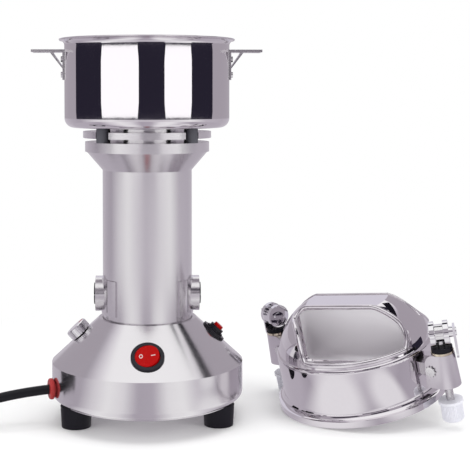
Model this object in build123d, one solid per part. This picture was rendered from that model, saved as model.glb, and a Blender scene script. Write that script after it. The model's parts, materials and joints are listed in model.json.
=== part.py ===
from build123d import *
import math
import os

# Electric powder grinder with its lid lying beside it.
# Millimetres, +Z up, front towards -Y. The origin is on the table, under the motor's axis.

# Fits
running = 0.06
seat_gap = 0.05
soft_gap = 0.3

# Feet and bottom cover
foot_height = 20.0
foot_top_r = 15.0
foot_bottom_r = 14.0
foot_spacing_x = 136.0
foot_spacing_y = 60.0
foot_recess_r = 6.0
foot_recess_depth = 8.0
foot_head_r = 4.5
foot_head_height = 3.5
foot_shank_r = 2.5
foot_nut_r = 4.6
foot_nut_height = 4.0
cover_thickness = 2.0
vent_count = 8
vent_length = 18.0
vent_width = 4.0
vent_circle_r = 38.0

# Base housing
drum_r = 93.0
drum_height = 35.0
cone_height = 42.0
cone_top_r = 47.5
base_wall = 2.5
base_edge_r = 7.0
base_flange_width = 24.0
shelf_thickness = 3.0
seam_depth = 4.0
seam_gap = 0.5

# Motor column
column_r = 43.4
column_wall = 3.0
column_height = 175.4
flare_height = 18.0
flare_r = 58.8
band_r = 60.3
band_height = 9.4
top_plate = 16.4
boss_height = 27.0
boss_r = 17.0
boss_out = 7.1
boss_inset = 37.5
pad_rise = 1.4
pad_half_angle = 47.0
pad_height = 34.0
groove_angle = 30.0
groove_width = 1.2

# Brushes
holder_r = 7.0
brush_width = 5.0
brush_height = 8.0
brush_length = 15.0
spring_r = 2.2
spring_wire = 0.5
cap_plug_r = 9.0
cap_plug_length = 6.0
cap_r = 10.4
cap_dome = 1.3
cap_slot = 1.4

# Motor inside the column
tie_circle_r = 35.0
tie_r = 2.0
tie_head_r = 3.6
tie_head = 3.4
tie_thread = 6.0
bell_thickness = 4.0
bell_hub_r = 15.0
lower_bearing_r = 11.0
lower_bearing_width = 7.0
lower_journal_r = 4.0
upper_bearing_r = 17.5
upper_bearing_width = 11.0
upper_journal_r = 7.5
retainer_width = 6.0
retainer_thickness = 2.0
shaft_r = 6.0
commutator_r = 15.0
commutator_length = 20.0
commutator_gap = 0.3
armature_r = 22.0
armature_slots = 12
armature_slot_width = 3.0
armature_slot_depth = 6.0
stack_length = 50.0
stack_base = 55.0
air_gap = 0.8
winding_r = 20.0
winding_length = 9.0
coil_half_width = 20.0
coil_side = 6.0
coil_depth = 8.0
coil_offset = 29.0
coil_end = 9.0
fan_r = 31.0
fan_height = 13.0
fan_lift = 18.0
fan_disc = 2.0
fan_hub_r = 10.0
fan_blades = 9
fan_blade = 1.6

# Neck between the column and the bowl
neck_r = 36.0
neck_height = 13.8
fin_r = 62.2
fin_thickness = 6.2
fin_lift = 3.9
buffer_r = 5.8
buffer_x = 42.0
buffer_y = 38.0
seal_r = 11.0
seal_flange_r = 13.5
seal_flange = 1.5
seal_depth = 6.0

# Bowl
bowl_r = 79.9
bowl_wall = 1.0
bowl_height = 85.4
bowl_corner_r = 9.0
lip_out = 4.9
lip_height = 6.6
lip_thickness = 1.6
bowl_screw_circle_r = 24.0
bowl_screw_r = 2.0
bowl_screw_head_r = 4.0
bowl_screw_head = 2.4
bowl_screw_length = 22.0

# Blades
blade_gap = 9.0
blade_thickness = 3.0
blade_hub_r = 13.0
blade_width = 17.0
blade_tip_width = 9.0
blade_turn = 25.0
spacer_r = 11.0
lower_spacer = 6.0
upper_spacer = 9.0
blade_nut_r = 9.0
blade_nut_height = 8.0
shaft_end = 2.0

# Ears on the bowl
ear_drop = 10.4
ear_thickness = 2.4
ear_end = 11.5
ear_width = 26.0
ear_slot = 9.0
ear_plate = 1.8
ear_plate_height = 29.0
brace_width = 14.0
brace_thickness = 2.0
brace_out = 14.1
brace_drop = 19.0
rivet_r = 1.5
rivet_head_r = 2.8
rivet_head = 1.6
rivet_drops = (9.0, 24.0)

# Rocker switch on the front of the cone
switch_share = 0.43956044
bezel_r = 15.6
bezel_rise = 2.0
switch_body_r = 12.9
switch_depth = 17.0
switch_wall = 0.9
rocker_r = 11.4
rocker_half_angle = 10.0
rocker_rise = 3.2
rocker_valley = 2.2
rocker_below = 3.0
well_depth = 6.4
rocker_pin_r = 1.0
terminal_length = 8.0
terminal_width = 4.8
terminal_thickness = 0.8
terminal_x = 6.0
terminal_y = 4.0

# Timer knob on the left of the cone
timer_share = 0.626373626
knob_r = 10.8
knob_height = 9.0
knob_edge = 0.8
timer_shaft_r = 3.0
timer_bush_r = 5.0
timer_bush_length = 7.0
timer_body_r = 17.0
timer_body_depth = 15.0

# Overload breaker on the right of the cone
breaker_share = 0.626373626
breaker_flange_r = 12.6
breaker_flange = 1.9
breaker_collar_r = 7.2
breaker_collar = 4.5
breaker_bush_r = 6.2
breaker_bush_length = 8.0
breaker_body_r = 11.0
breaker_body_depth = 16.0
button_r = 4.7
button_rise = 3.0
button_length = 8.0
button_travel = 2.5

# Lid, in its own frame: rim plane at zero height, clamps along X
lid_x = 217.0
lid_y = 16.0
lid_tilt = 14.0
lid_lean = -58.0
lid_turn = 12.5
bar_turn = 13.0
lid_band = 6.0
lid_cove = 7.0
lid_flare = 6.2
lid_shell = 4.0
shoulder_height = 54.6
shoulder_r = 4.6
bar_height = 96.0
bar_half_length = 41.0
dome_fullness = 0.157004831
pocket_end = 8.4
pocket_start = 22.1
pocket_rake = 30.3
pocket_floor = 39.0
pocket_wall = 3.6
pocket_corner_r = 9.5
pocket_floor_r = 8.0
grip_web = 34.0
grip_offset = 4.0
bar_edge_r = 2.5
lid_hollow_top = 35.0
gasket_width = 4.2
gasket_height = 2.4
gasket_depth = 2.0

# Clamps on the lid
bolt_clear = 14.7
bolt_r = 3.6
pivot_inset = 8.5
pivot_height = 35.5
pivot_pin_r = 2.0
lug_end_r = 3.8
lug_half_width = 8.0
lug_height = 12.0
bracket_low = 19.0
bracket_top = 51.0
bracket_half_width = 11.0
bracket_wall = 2.0
bracket_plate = 2.5
bracket_depth = 13.5
bracket_back_r = 10.0
bracket_flare = 3.0
bracket_web_inset = 4.0
star_r = 4.6
star_thickness = 0.9
ring_r = 10.6
ring_thickness = 2.2
cushion_r = 10.0
cushion_height = 4.2
cam_r = 11.6
cam_thickness = 4.6
cam_throw = 1.0
cam_gap = 0.35
eye_r = 8.2
eye_thickness = 7.6
eye_gap = 0.4
lever_pin_r = 2.5
lever_pin_head_r = 4.0
lever_pin_head = 1.2
handle_offset = 12.6
handle_thickness = 2.0
handle_width = 12.0
handle_length = 26.0
handle_top = 6.0
cam_yaw = {"right": 31.0, "left": -21.0}
nut_flange_r = 11.6
nut_flange = 2.6
nut_r = 9.8
right_nut_drop = 16.5
nut_length = 20.0
nut_edge = 0.8
bolt_tip = 1.5

# Mains lead
cord_r = 4.5
cord_lift = 1.0
cord_exit_angle = 196.0
cord_exit_height = 35.0
cord_inset = 15.0
lead_straight = 116.0
grommet_r = 10.0
grommet_face = 5.0
grommet_body_r = 7.5
grommet_collar = 3.0
grommet_collar_gap = 1.6
grommet_inner = 7.0
grommet_tail_r = 6.2
block_depth = 15.0
block_width = 26.0
block_height = 21.0
block_foot = 16.0
capacitor_x = 24.0
capacitor_y = 34.0
capacitor_length = 26.0
capacitor_width = 13.0
capacitor_height = 20.0
lead_middle = (-168.0, -41.0, 24.0)
lead_last = 30.0
coil_x = -254.0
coil_y = 12.0
coil_start_r = 56.0
coil_pitch = 10.0
coil_layer = 9.7
coil_turns_in = 1.25
coil_turns_out = 1.5
tie_strip = 0.7
tie_width = 12.0
tie_slack = 1.1
plug_r = 15.0
plug_length = 34.0
plug_neck_r = 7.0
plug_neck = 22.0
plug_pin_r = 2.4
plug_pin_length = 19.0
plug_pin_spacing = 19.0

# Levels worked out from the sizes above
cover_z = foot_height
base_z = cover_z + cover_thickness
cone_z = base_z + drum_height
cone_top_z = cone_z + cone_height
shelf_z = cone_top_z - seam_depth
column_top_z = shelf_z + column_height
bore_r = column_r - column_wall
boss_reach = column_r + boss_out
plate_z = column_top_z - top_plate
boss_z = shelf_z + boss_height
bearing_z = plate_z
lower_bearing_z = shelf_z + bell_thickness / 2
stack_z = shelf_z + stack_base
stack_top_z = stack_z + stack_length
bowl_z = column_top_z + neck_height
bowl_floor_z = bowl_z + bowl_wall
rim_z = bowl_z + bowl_height
ear_z = rim_z - ear_drop - ear_thickness
blade_z = bowl_floor_z + seal_flange + 0.6
cone_run = drum_r - cone_top_r
switch_cone_r = drum_r - switch_share * cone_run
timer_cone_r = drum_r - timer_share * cone_run
breaker_cone_r = drum_r - breaker_share * cone_run
cone_slant = math.hypot(cone_run, cone_height)
normal_r = cone_height / cone_slant
normal_z = cone_run / cone_slant
cord_inner_end = drum_r - cord_inset
brace_reach = bowl_r + brace_out
lip_r = bowl_r + lip_out
lid_rim_r = lip_r
lid_wall_r = lid_rim_r - lid_flare
pocket_reach_r = lid_wall_r - pocket_wall
pocket_right = pocket_reach_r - pocket_end
pocket_left = pocket_reach_r - pocket_start
bolt_circle_r = lid_rim_r + bolt_clear
ear_reach = bolt_circle_r + ear_end
pivot_r = bolt_circle_r - pivot_inset
bracket_back = bolt_circle_r - bracket_depth
bracket_web_from = bolt_circle_r - bracket_web_inset
lean = math.tan(math.radians(lid_tilt))
nut_lift = bolt_circle_r * math.sin(math.radians(lid_turn))
nut_bottom = {"right": -right_nut_drop, "left": -lean * (lid_rim_r - nut_lift - nut_r)}
lid_z = lid_rim_r * math.sin(math.radians(lid_tilt))
cushion_top = bracket_top + ring_thickness + cushion_height
lever_z = cushion_top + cam_gap + cam_throw + cam_r
lid_place = Pos(lid_x, lid_y, lid_z) * Rot(Z=lid_lean) * Rot(X=lid_tilt) * Rot(Z=lid_turn)
sides = {"right": 0.0, "left": 180.0}


def rod(r, z0, z1, x=0.0, y=0.0):
    """Upright cylinder between two heights."""
    return Pos(x, y, z0) * Cylinder(r, z1 - z0, align=(Align.CENTER, Align.CENTER, Align.MIN))


def ring(r_out, r_in, z0, z1, x=0.0, y=0.0):
    """Upright tube between two heights."""
    return rod(r_out, z0, z1, x, y) - rod(r_in, z0 - 1, z1 + 1, x, y)


def block(x0, x1, y0, y1, z0, z1):
    """Box between two corners."""
    return Pos((x0 + x1) / 2, (y0 + y1) / 2, (z0 + z1) / 2) * Box(x1 - x0, y1 - y0, z1 - z0)


def bar_x(r, x0, x1, y=0.0, z=0.0):
    """Cylinder along X between two places."""
    return Pos((x0 + x1) / 2, y, z) * Rot(Y=90) * Cylinder(r, x1 - x0)


def bar_y(r, y0, y1, x=0.0, z=0.0):
    """Cylinder along Y between two places."""
    return Pos(x, (y0 + y1) / 2, z) * Rot(X=90) * Cylinder(r, y1 - y0)


def turned(points):
    """Solid turned about Z from a closed outline of radius and height pairs."""
    outline = Polyline(*[(r, 0, z) for r, z in points], close=True)
    return revolve(make_face(outline), Axis.Z)


def turned_edges(edges):
    """Solid turned about Z from a closed run of lines and arcs."""
    return revolve(make_face(edges), Axis.Z)


def line(a, b):
    """Straight edge of a turned outline."""
    return Line((a[0], 0, a[1]), (b[0], 0, b[1]))


def arc(a, middle, b):
    """Round edge of a turned outline, through a middle point."""
    return ThreePointArc((a[0], 0, a[1]), (middle[0], 0, middle[1]), (b[0], 0, b[1]))


def round_middle(centre, r, degrees):
    """Point on a circle of a turned outline."""
    turn = math.radians(degrees)
    return (centre[0] + r * math.cos(turn), centre[1] + r * math.sin(turn))


def around(shape, count, start=0.0):
    """Copies of a shape spread evenly about Z, as separate solids."""
    return [Rot(Z=start + 360.0 * i / count) * shape for i in range(count)]


def group(shapes):
    """Several separate solids kept as one piece."""
    return Compound(children=list(shapes))


def four(shape, x, y):
    """Copies of a shape at the four corners of a rectangle."""
    return [Pos(sx * x, sy * y, 0) * shape for sx in (-1, 1) for sy in (-1, 1)]


def cone_height_at(r):
    """Height of the cone's outer face at a radius."""
    return cone_z + (drum_r - r) * cone_height / cone_run


def on_cone(degrees, r):
    """Frame on the cone's outer face: X along its round, Y up its slope, Z outwards."""
    turn = math.radians(degrees)
    out = Vector(math.cos(turn), math.sin(turn), 0)
    spot = out * r + Vector(0, 0, cone_height_at(r))
    face = out * normal_r + Vector(0, 0, normal_z)
    return Plane(spot, x_dir=(-math.sin(turn), math.cos(turn), 0), z_dir=face).location


def seat_drop(r, half_width):
    """How far the cone falls away under a flat round face."""
    return half_width ** 2 / (2 * r / normal_r) + seat_gap


switch_place = on_cone(-90, switch_cone_r)
timer_place = on_cone(180, timer_cone_r)
breaker_place = on_cone(0, breaker_cone_r)
switch_seat = -seat_drop(switch_cone_r, bezel_r)
breaker_seat = -seat_drop(breaker_cone_r, breaker_flange_r)
exit_turn = math.radians(cord_exit_angle)
exit_place = Pos(0, 0, cord_exit_height) * Rot(Z=cord_exit_angle)


def make_base():
    """Housing shell: rounded drum, cone and the shelf that carries the column."""
    inner_r = drum_r - base_wall
    lift = base_wall * (1 - normal_r) / normal_z
    inner_cone_z = cone_z - lift
    shelf_under = shelf_z - shelf_thickness
    shelf_out = inner_r - (shelf_under - inner_cone_z) * cone_run / cone_height
    flange_in = drum_r - base_edge_r - base_flange_width
    edge_centre = (drum_r - base_edge_r, base_z + base_edge_r)
    inner_edge_r = base_edge_r - base_wall
    start = (flange_in, base_z)
    low = (drum_r - base_edge_r, base_z)
    side = (drum_r, base_z + base_edge_r)
    shoulder = (drum_r, cone_z)
    top_out = (cone_top_r, cone_top_z)
    top_in = (column_r + seam_gap, cone_top_z)
    seat = (column_r + seam_gap, shelf_z)
    shelf_in = (tie_circle_r - tie_head_r - 2.0, shelf_z)
    shelf_low = (shelf_in[0], shelf_under)
    under = (shelf_out, shelf_under)
    inner_top = (inner_r, inner_cone_z)
    inner_side = (inner_r, base_z + base_edge_r)
    inner_low = (edge_centre[0], base_z + base_wall)
    end = (flange_in, base_z + base_wall)
    edges = [line(start, low)]
    edges += [arc(low, round_middle(edge_centre, base_edge_r, -45), side)]
    edges += [line(side, shoulder), line(shoulder, top_out), line(top_out, top_in), line(top_in, seat)]
    edges += [line(seat, shelf_in), line(shelf_in, shelf_low), line(shelf_low, under)]
    edges += [line(under, inner_top), line(inner_top, inner_side)]
    edges += [arc(inner_side, round_middle(edge_centre, inner_edge_r, -45), inner_low)]
    edges += [line(inner_low, end), line(end, start)]
    shell = turned_edges(edges)
    for hole in around(rod(tie_r + running, shelf_under - 1, shelf_z + 1, tie_circle_r), 4, 45):
        shell -= hole
    screw_hole = rod(foot_shank_r + seat_gap, base_z - 1, base_z + base_wall + 1)
    for hole in four(screw_hole, foot_spacing_x / 2, foot_spacing_y / 2):
        shell -= hole
    deep = 4 * base_wall
    shell -= switch_place * rod(bezel_r + soft_gap, switch_seat, deep)
    shell -= switch_place * rod(switch_body_r + running, -deep, deep)
    shell -= timer_place * rod(timer_bush_r + running, -deep, deep)
    shell -= breaker_place * rod(breaker_flange_r + soft_gap, breaker_seat, deep)
    shell -= breaker_place * rod(breaker_bush_r + running, -deep, deep)
    shell -= exit_place * bar_x(grommet_body_r + running, drum_r - 4 * base_wall, drum_r + base_wall)
    return shell


def make_cover():
    """Bottom plate with vent slots, held by the foot screws."""
    plate = rod(drum_r - base_edge_r - 1.0, cover_z, base_z)
    screw_hole = rod(foot_shank_r + seat_gap, cover_z - 1, base_z + 1)
    for hole in four(screw_hole, foot_spacing_x / 2, foot_spacing_y / 2):
        plate -= hole
    half = vent_length / 2 - vent_width / 2
    slot = block(-half, half, -vent_width / 2, vent_width / 2, cover_z - 1, base_z + 1)
    slot += rod(vent_width / 2, cover_z - 1, base_z + 1, half)
    slot += rod(vent_width / 2, cover_z - 1, base_z + 1, -half)
    for cut in around(Pos(vent_circle_r, 0, 0) * slot, vent_count):
        plate -= cut
    return plate


def make_feet():
    """Four tapered rubber feet with a recess for the screw head."""
    head_top = foot_recess_depth + foot_head_height + 1.5
    foot = turned([(0, 0), (foot_bottom_r, 0), (foot_top_r, foot_height), (0, foot_height)])
    foot -= rod(foot_recess_r, -1, foot_recess_depth)
    foot -= rod(foot_head_r + 0.2, foot_recess_depth - 1, head_top)
    foot -= rod(foot_shank_r + seat_gap, head_top - 1, foot_height + 1)
    screw = rod(foot_head_r, head_top - foot_head_height, head_top)
    screw += rod(foot_shank_r, head_top, base_z + base_wall + foot_nut_height)
    nut_z = base_z + base_wall
    nut = extrude(Pos(0, 0, nut_z) * RegularPolygon(foot_nut_r, 6), foot_nut_height)
    nut -= rod(foot_shank_r + seat_gap, nut_z - 1, nut_z + foot_nut_height + 1)
    x = foot_spacing_x / 2
    y = foot_spacing_y / 2
    return group(four(foot, x, y)), group(four(screw, x, y) + four(nut, x, y))


def make_column():
    """Tube with a flared top, brush bosses and saddle pads."""
    flare_z = column_top_z - band_height
    pocket_top = bearing_z + upper_bearing_width + 0.4
    pocket_r = upper_bearing_r + seat_gap
    outline = [(bore_r, shelf_z), (column_r, shelf_z), (column_r, flare_z - flare_height)]
    outline += [(flare_r, flare_z), (band_r, flare_z), (band_r, column_top_z)]
    outline += [(seal_r - 1, column_top_z), (seal_r - 1, pocket_top), (pocket_r, pocket_top)]
    outline += [(pocket_r, plate_z), (bore_r, plate_z)]
    column = turned(outline)
    pad_z = boss_z - pad_height / 2 - 1.0
    pad_in = column_r - 1.0
    pad_out = column_r + pad_rise
    pad_top = pad_z + pad_height
    pad_line = Polyline((pad_in, 0, pad_z), (pad_out, 0, pad_z), (pad_out, 0, pad_top),
                        (pad_in, 0, pad_top), close=True)
    pad = Rot(Z=-pad_half_angle) * revolve(make_face(pad_line), Axis.Z, 2 * pad_half_angle)
    for turn in (-groove_angle, groove_angle):
        pad -= Rot(Z=turn) * block(column_r, column_r + 2 * pad_rise, -groove_width / 2, groove_width / 2,
                                   pad_z + 3.0, pad_top + 1)
    boss = bar_x(boss_r, boss_inset, boss_reach, z=boss_z)
    for turn in (0, 180):
        column += Rot(Z=turn) * pad
        column += Rot(Z=turn) * boss
    for turn in (0, 180):
        column -= Rot(Z=turn) * bar_x(holder_r + running, boss_inset - 1, boss_reach, z=boss_z)
        cap_seat = boss_reach - cap_plug_length
        column -= Rot(Z=turn) * bar_x(cap_plug_r + running, cap_seat, boss_reach + 1, z=boss_z)
    for hole in around(rod(tie_r + running, plate_z - 1, plate_z + tie_thread + 1, tie_circle_r), 4, 45):
        column -= hole
    screw_z = bowl_floor_z - bowl_screw_length
    for hole in around(rod(bowl_screw_r + running, screw_z - 1, column_top_z + 1, bowl_screw_circle_r), 4):
        column -= hole
    return column


def make_brushes():
    """Brush holders with their springs, brushes and screw caps, two of each."""
    start = commutator_r + commutator_gap
    cap_in = boss_reach - cap_plug_length
    holder_start = start + 3.0
    holder = bar_x(holder_r, holder_start, cap_in - seat_gap, z=boss_z)
    half_y = brush_width / 2
    half_z = brush_height / 2
    holder -= block(holder_start - 1, cap_in + 1, -half_y - running, half_y + running,
                    boss_z - half_z - running, boss_z + half_z + running)
    brush = block(start, start + brush_length, -half_y, half_y, boss_z - half_z, boss_z + half_z)
    spring = bar_x(spring_r, start + brush_length + seat_gap, cap_in - seat_gap, z=boss_z)
    spring -= bar_x(spring_r - spring_wire, start, boss_reach, z=boss_z)
    cap = bar_x(cap_plug_r, cap_in, boss_reach + seat_gap, z=boss_z)
    cap += bar_x(cap_r, boss_reach + seat_gap, boss_reach + seat_gap + cap_dome, z=boss_z)
    cap -= block(boss_reach + seat_gap, boss_reach + 4 * cap_dome, -cap_r, cap_r,
                 boss_z - cap_slot / 2, boss_z + cap_slot / 2)
    pieces = []
    for parts in ([holder, spring], [brush], [cap]):
        pieces.append(group(parts + [Rot(Z=180) * piece for piece in parts]))
    return pieces


def make_motor_frame():
    """End bell, bearings, retainer, tie bolts, stator core and field coils."""
    bell_top = shelf_z + bell_thickness
    lower_top = lower_bearing_z + lower_bearing_width
    bell = rod(bore_r - soft_gap, shelf_z, bell_top)
    bell += rod(bell_hub_r, shelf_z, lower_top)
    bell -= rod(lower_bearing_r + seat_gap, lower_bearing_z, lower_top + 1)
    bell -= rod(lower_journal_r + 2.0, shelf_z - 1, lower_bearing_z + 1)
    for hole in around(rod(tie_r + running, shelf_z - 1, bell_top + 1, tie_circle_r), 4, 45):
        bell -= hole
    vent_r = (bell_hub_r + tie_circle_r - tie_head_r) / 2
    vent_hole_r = (tie_circle_r - bell_hub_r) / 4
    for hole in around(rod(vent_hole_r, shelf_z - 1, bell_top + 1, vent_r), 4):
        bell -= hole
    lower = ring(lower_bearing_r, lower_journal_r + running, lower_bearing_z, lower_top)
    upper = ring(upper_bearing_r, upper_journal_r + running, bearing_z, bearing_z + upper_bearing_width)
    retainer_r = upper_bearing_r + retainer_width
    retainer = ring(retainer_r, upper_journal_r + 3.0, plate_z - retainer_thickness, plate_z)
    for hole in around(rod(bowl_screw_r + running, plate_z - 9, plate_z + 1, bowl_screw_circle_r), 4):
        retainer -= hole
    bolt = rod(tie_r, shelf_z - shelf_thickness, plate_z + tie_thread, tie_circle_r)
    bolt += rod(tie_head_r, shelf_z - shelf_thickness - tie_head, shelf_z - shelf_thickness, tie_circle_r)
    stator = ring(bore_r - soft_gap, armature_r + air_gap, stack_z, stack_top_z)
    coil_y0 = coil_offset - coil_depth / 2
    coil_y1 = coil_offset + coil_depth / 2
    coil_x0 = coil_half_width - coil_side
    for sx in (-1, 1):
        for sy in (-1, 1):
            centre_x = sx * (coil_half_width - coil_side / 2)
            slot = Box(coil_side + 2 * soft_gap, coil_depth + 2 * soft_gap, stack_length + 2)
            stator -= Pos(centre_x, sy * coil_offset, (stack_z + stack_top_z) / 2) * slot
    for hole in around(rod(tie_r + soft_gap, stack_z - 1, stack_top_z + 1, tie_circle_r), 4, 45):
        stator -= hole
    coil = block(-coil_half_width, coil_half_width, coil_y0, coil_y1,
                 stack_z - coil_end, stack_top_z + coil_end)
    coil -= block(-coil_x0, coil_x0, coil_y0 - 1, coil_y1 + 1, stack_z - soft_gap, stack_top_z + soft_gap)
    coils = group([coil, Rot(Z=180) * coil])
    return bell, group([lower, upper]), retainer, group(around(bolt, 4, 45)), stator, coils


def make_rotor():
    """Shaft with the commutator, armature, winding ends and fan."""
    shaft_top = blade_z + lower_spacer + upper_spacer + 2 * blade_thickness + blade_nut_height + shaft_end
    journal_top = lower_bearing_z + lower_bearing_width + 0.5
    upper_end = bearing_z + upper_bearing_width + 0.2
    upper_start = bearing_z - retainer_thickness - 1.0
    shaft = rod(lower_journal_r, shelf_z - shelf_thickness, journal_top)
    shaft += rod(shaft_r, journal_top, upper_start)
    shaft += rod(upper_journal_r, upper_start, upper_end)
    shaft += rod(shaft_r, upper_end, shaft_top)
    bore = shaft_r + seat_gap
    half = commutator_length / 2
    commutator = ring(commutator_r, bore, boss_z - half, boss_z + half)
    core = ring(armature_r, bore, stack_z, stack_top_z)
    slot = block(armature_r - armature_slot_depth, armature_r + 1, -armature_slot_width / 2,
                 armature_slot_width / 2, stack_z - 1, stack_top_z + 1)
    for cut in around(slot, armature_slots):
        core -= cut
    low = ring(winding_r, bore, stack_z - winding_length, stack_z)
    high = ring(winding_r, bore, stack_top_z, stack_top_z + winding_length)
    fan_z = stack_top_z + fan_lift
    fan = ring(fan_r, bore, fan_z, fan_z + fan_disc)
    fan += ring(fan_hub_r, bore, fan_z, fan_z + fan_height)
    vane = block(fan_hub_r - 1, fan_r, -fan_blade / 2, fan_blade / 2, fan_z, fan_z + fan_height)
    for blade in around(vane, fan_blades):
        fan += blade
    return shaft, commutator, core, group([low, high]), fan


def make_neck():
    """Turned neck with a cooling fin, notched for the buffers, and the shaft seal."""
    fin_z = column_top_z + fin_lift
    neck = rod(neck_r, column_top_z, bowl_z) + rod(fin_r, fin_z, fin_z + fin_thickness)
    neck -= rod(seal_r - 1, column_top_z - 1, bowl_z + 1)
    neck -= rod(seal_r + seat_gap, bowl_z - seal_depth, bowl_z + 1)
    for hole in around(rod(bowl_screw_r + running, column_top_z - 1, bowl_z + 1, bowl_screw_circle_r), 4):
        neck -= hole
    notch_r = buffer_r + soft_gap
    for sx in (-1, 1):
        for sy in (-1, 1):
            neck -= rod(notch_r, fin_z - 1, fin_z + fin_thickness + 1, sx * buffer_x, sy * buffer_y)
            neck -= block(sx * buffer_x - notch_r, sx * buffer_x + notch_r,
                          min(sy * buffer_y, sy * fin_r), max(sy * buffer_y, sy * fin_r),
                          fin_z - 1, fin_z + fin_thickness + 1)
    buffers = group(four(rod(buffer_r, column_top_z, bowl_z), buffer_x, buffer_y))
    seal = rod(seal_r, bowl_z - seal_depth, bowl_floor_z)
    seal += rod(seal_flange_r, bowl_floor_z, bowl_floor_z + seal_flange)
    seal -= rod(shaft_r + running, bowl_z - seal_depth - 1, bowl_floor_z + seal_flange + 1)
    return neck, buffers, seal


def make_bowl():
    """Steel bowl with a rounded floor edge and a flared lip."""
    inner = bowl_r - bowl_wall
    centre = (bowl_r - bowl_corner_r, bowl_z + bowl_corner_r)
    flare_z = rim_z - lip_height
    hole = seal_r + seat_gap
    lip_low = (lip_r, rim_z - lip_thickness)
    lip_high = (lip_r, rim_z)
    outer_mid = (bowl_r + 0.22 * (lip_r - bowl_r), flare_z + 0.66 * (lip_height - lip_thickness))
    inner_mid = (inner + 0.22 * (lip_r - bowl_r), flare_z + 0.72 * lip_height)
    inner_top = (lip_r - lip_thickness, rim_z)
    edges = [line((hole, bowl_z), (centre[0], bowl_z))]
    edges += [arc((centre[0], bowl_z), round_middle(centre, bowl_corner_r, -45), (bowl_r, centre[1]))]
    edges += [line((bowl_r, centre[1]), (bowl_r, flare_z)), arc((bowl_r, flare_z), outer_mid, lip_low)]
    edges += [line(lip_low, lip_high), line(lip_high, inner_top)]
    edges += [arc(inner_top, inner_mid, (inner, flare_z)), line((inner, flare_z), (inner, centre[1]))]
    edges += [arc((inner, centre[1]), round_middle(centre, bowl_corner_r - bowl_wall, -45),
                  (centre[0], bowl_floor_z))]
    edges += [line((centre[0], bowl_floor_z), (hole, bowl_floor_z))]
    edges += [line((hole, bowl_floor_z), (hole, bowl_z))]
    bowl = turned_edges(edges)
    screw_hole = rod(bowl_screw_r + running, bowl_z - 1, bowl_floor_z + 1, bowl_screw_circle_r)
    for hole_cut in around(screw_hole, 4):
        bowl -= hole_cut
    for drop in rivet_drops:
        bowl -= bar_x(rivet_r + running, -bowl_r - 1, bowl_r + 1, z=ear_z + ear_thickness - drop)
    screw = rod(bowl_screw_r, bowl_floor_z - bowl_screw_length, bowl_floor_z, bowl_screw_circle_r)
    screw += rod(bowl_screw_head_r, bowl_floor_z, bowl_floor_z + bowl_screw_head, bowl_screw_circle_r)
    return bowl, group(around(screw, 4))


def make_ear():
    """Clamp ear for the right side: slotted plate, back plate and brace."""
    top = ear_z + ear_thickness
    half = ear_width / 2
    wall_face = bowl_r + seat_gap
    plate = block(bowl_r - 5, ear_reach, -half, half, ear_z, top)
    slot = block(bolt_circle_r, ear_reach + 1, -ear_slot / 2, ear_slot / 2, ear_z - 1, top + 1)
    slot += rod(ear_slot / 2, ear_z - 1, top + 1, bolt_circle_r)
    plate -= slot
    plate -= rod(wall_face, ear_z - 1, top + 1)
    back = ring(wall_face + ear_plate, wall_face, top - ear_plate_height, top)
    back = back & block(0, ear_reach, -half, half, top - ear_plate_height, top)
    brace_low = top - brace_drop
    skin = wall_face + ear_plate / 2
    outline = Polyline((brace_reach, 0, ear_z + 0.5), (brace_reach - 1.4 * brace_thickness, 0, ear_z + 0.5),
                       (skin, 0, brace_low + brace_thickness), (skin, 0, brace_low), close=True)
    brace = Pos(0, brace_width / 2, 0) * extrude(make_face(outline), brace_width, dir=(0, -1, 0))
    holes = None
    for drop in rivet_drops:
        hole = bar_x(rivet_r + running, bowl_r - 2, wall_face + ear_plate + 9, z=top - drop)
        holes = hole if holes is None else holes + hole
    return plate + back + brace - holes


def make_rivets():
    """Rivets that hold both ears, two a side."""
    rivets = []
    face = bowl_r + seat_gap + ear_plate
    inner = bowl_r - bowl_wall
    for turn in sides.values():
        for drop in rivet_drops:
            z = ear_z + ear_thickness - drop
            rivet = bar_x(rivet_r, inner - rivet_head / 2, face + rivet_head, z=z)
            rivet += bar_x(rivet_head_r, face + seat_gap, face + rivet_head, z=z)
            rivet += bar_x(rivet_head_r, inner - rivet_head, inner - rivet_head / 2, z=z)
            rivets.append(Rot(Z=turn) * rivet)
    return group(rivets)


def make_blades():
    """Two crossed blades on the shaft with their spacers and nut."""
    reach = bowl_r - bowl_wall - blade_gap
    bore = shaft_r + seat_gap
    levels = [blade_z]
    for step in (lower_spacer, blade_thickness, upper_spacer, blade_thickness, blade_nut_height):
        levels.append(levels[-1] + step)
    half = blade_width / 2
    outline = Polyline((0, -half), (reach * 0.55, -half), (reach, half - blade_tip_width),
                       (reach, half), (0, half), close=True)

    def blade(z, turn):
        arm = extrude(Pos(0, 0, z) * make_face(outline), blade_thickness)
        whole = arm + Rot(Z=180) * arm + rod(blade_hub_r, z, z + blade_thickness)
        return Rot(Z=turn) * (whole - rod(bore, z - 1, z + blade_thickness + 1))

    low = ring(spacer_r, bore, levels[0], levels[1])
    high = ring(spacer_r, bore, levels[2], levels[3])
    nut = extrude(Pos(0, 0, levels[4]) * RegularPolygon(blade_nut_r, 6), blade_nut_height)
    nut -= rod(bore, levels[4] - 1, levels[5] + 1)
    return blade(levels[1], blade_turn), blade(levels[3], blade_turn + 90), group([low, high]), nut


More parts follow.
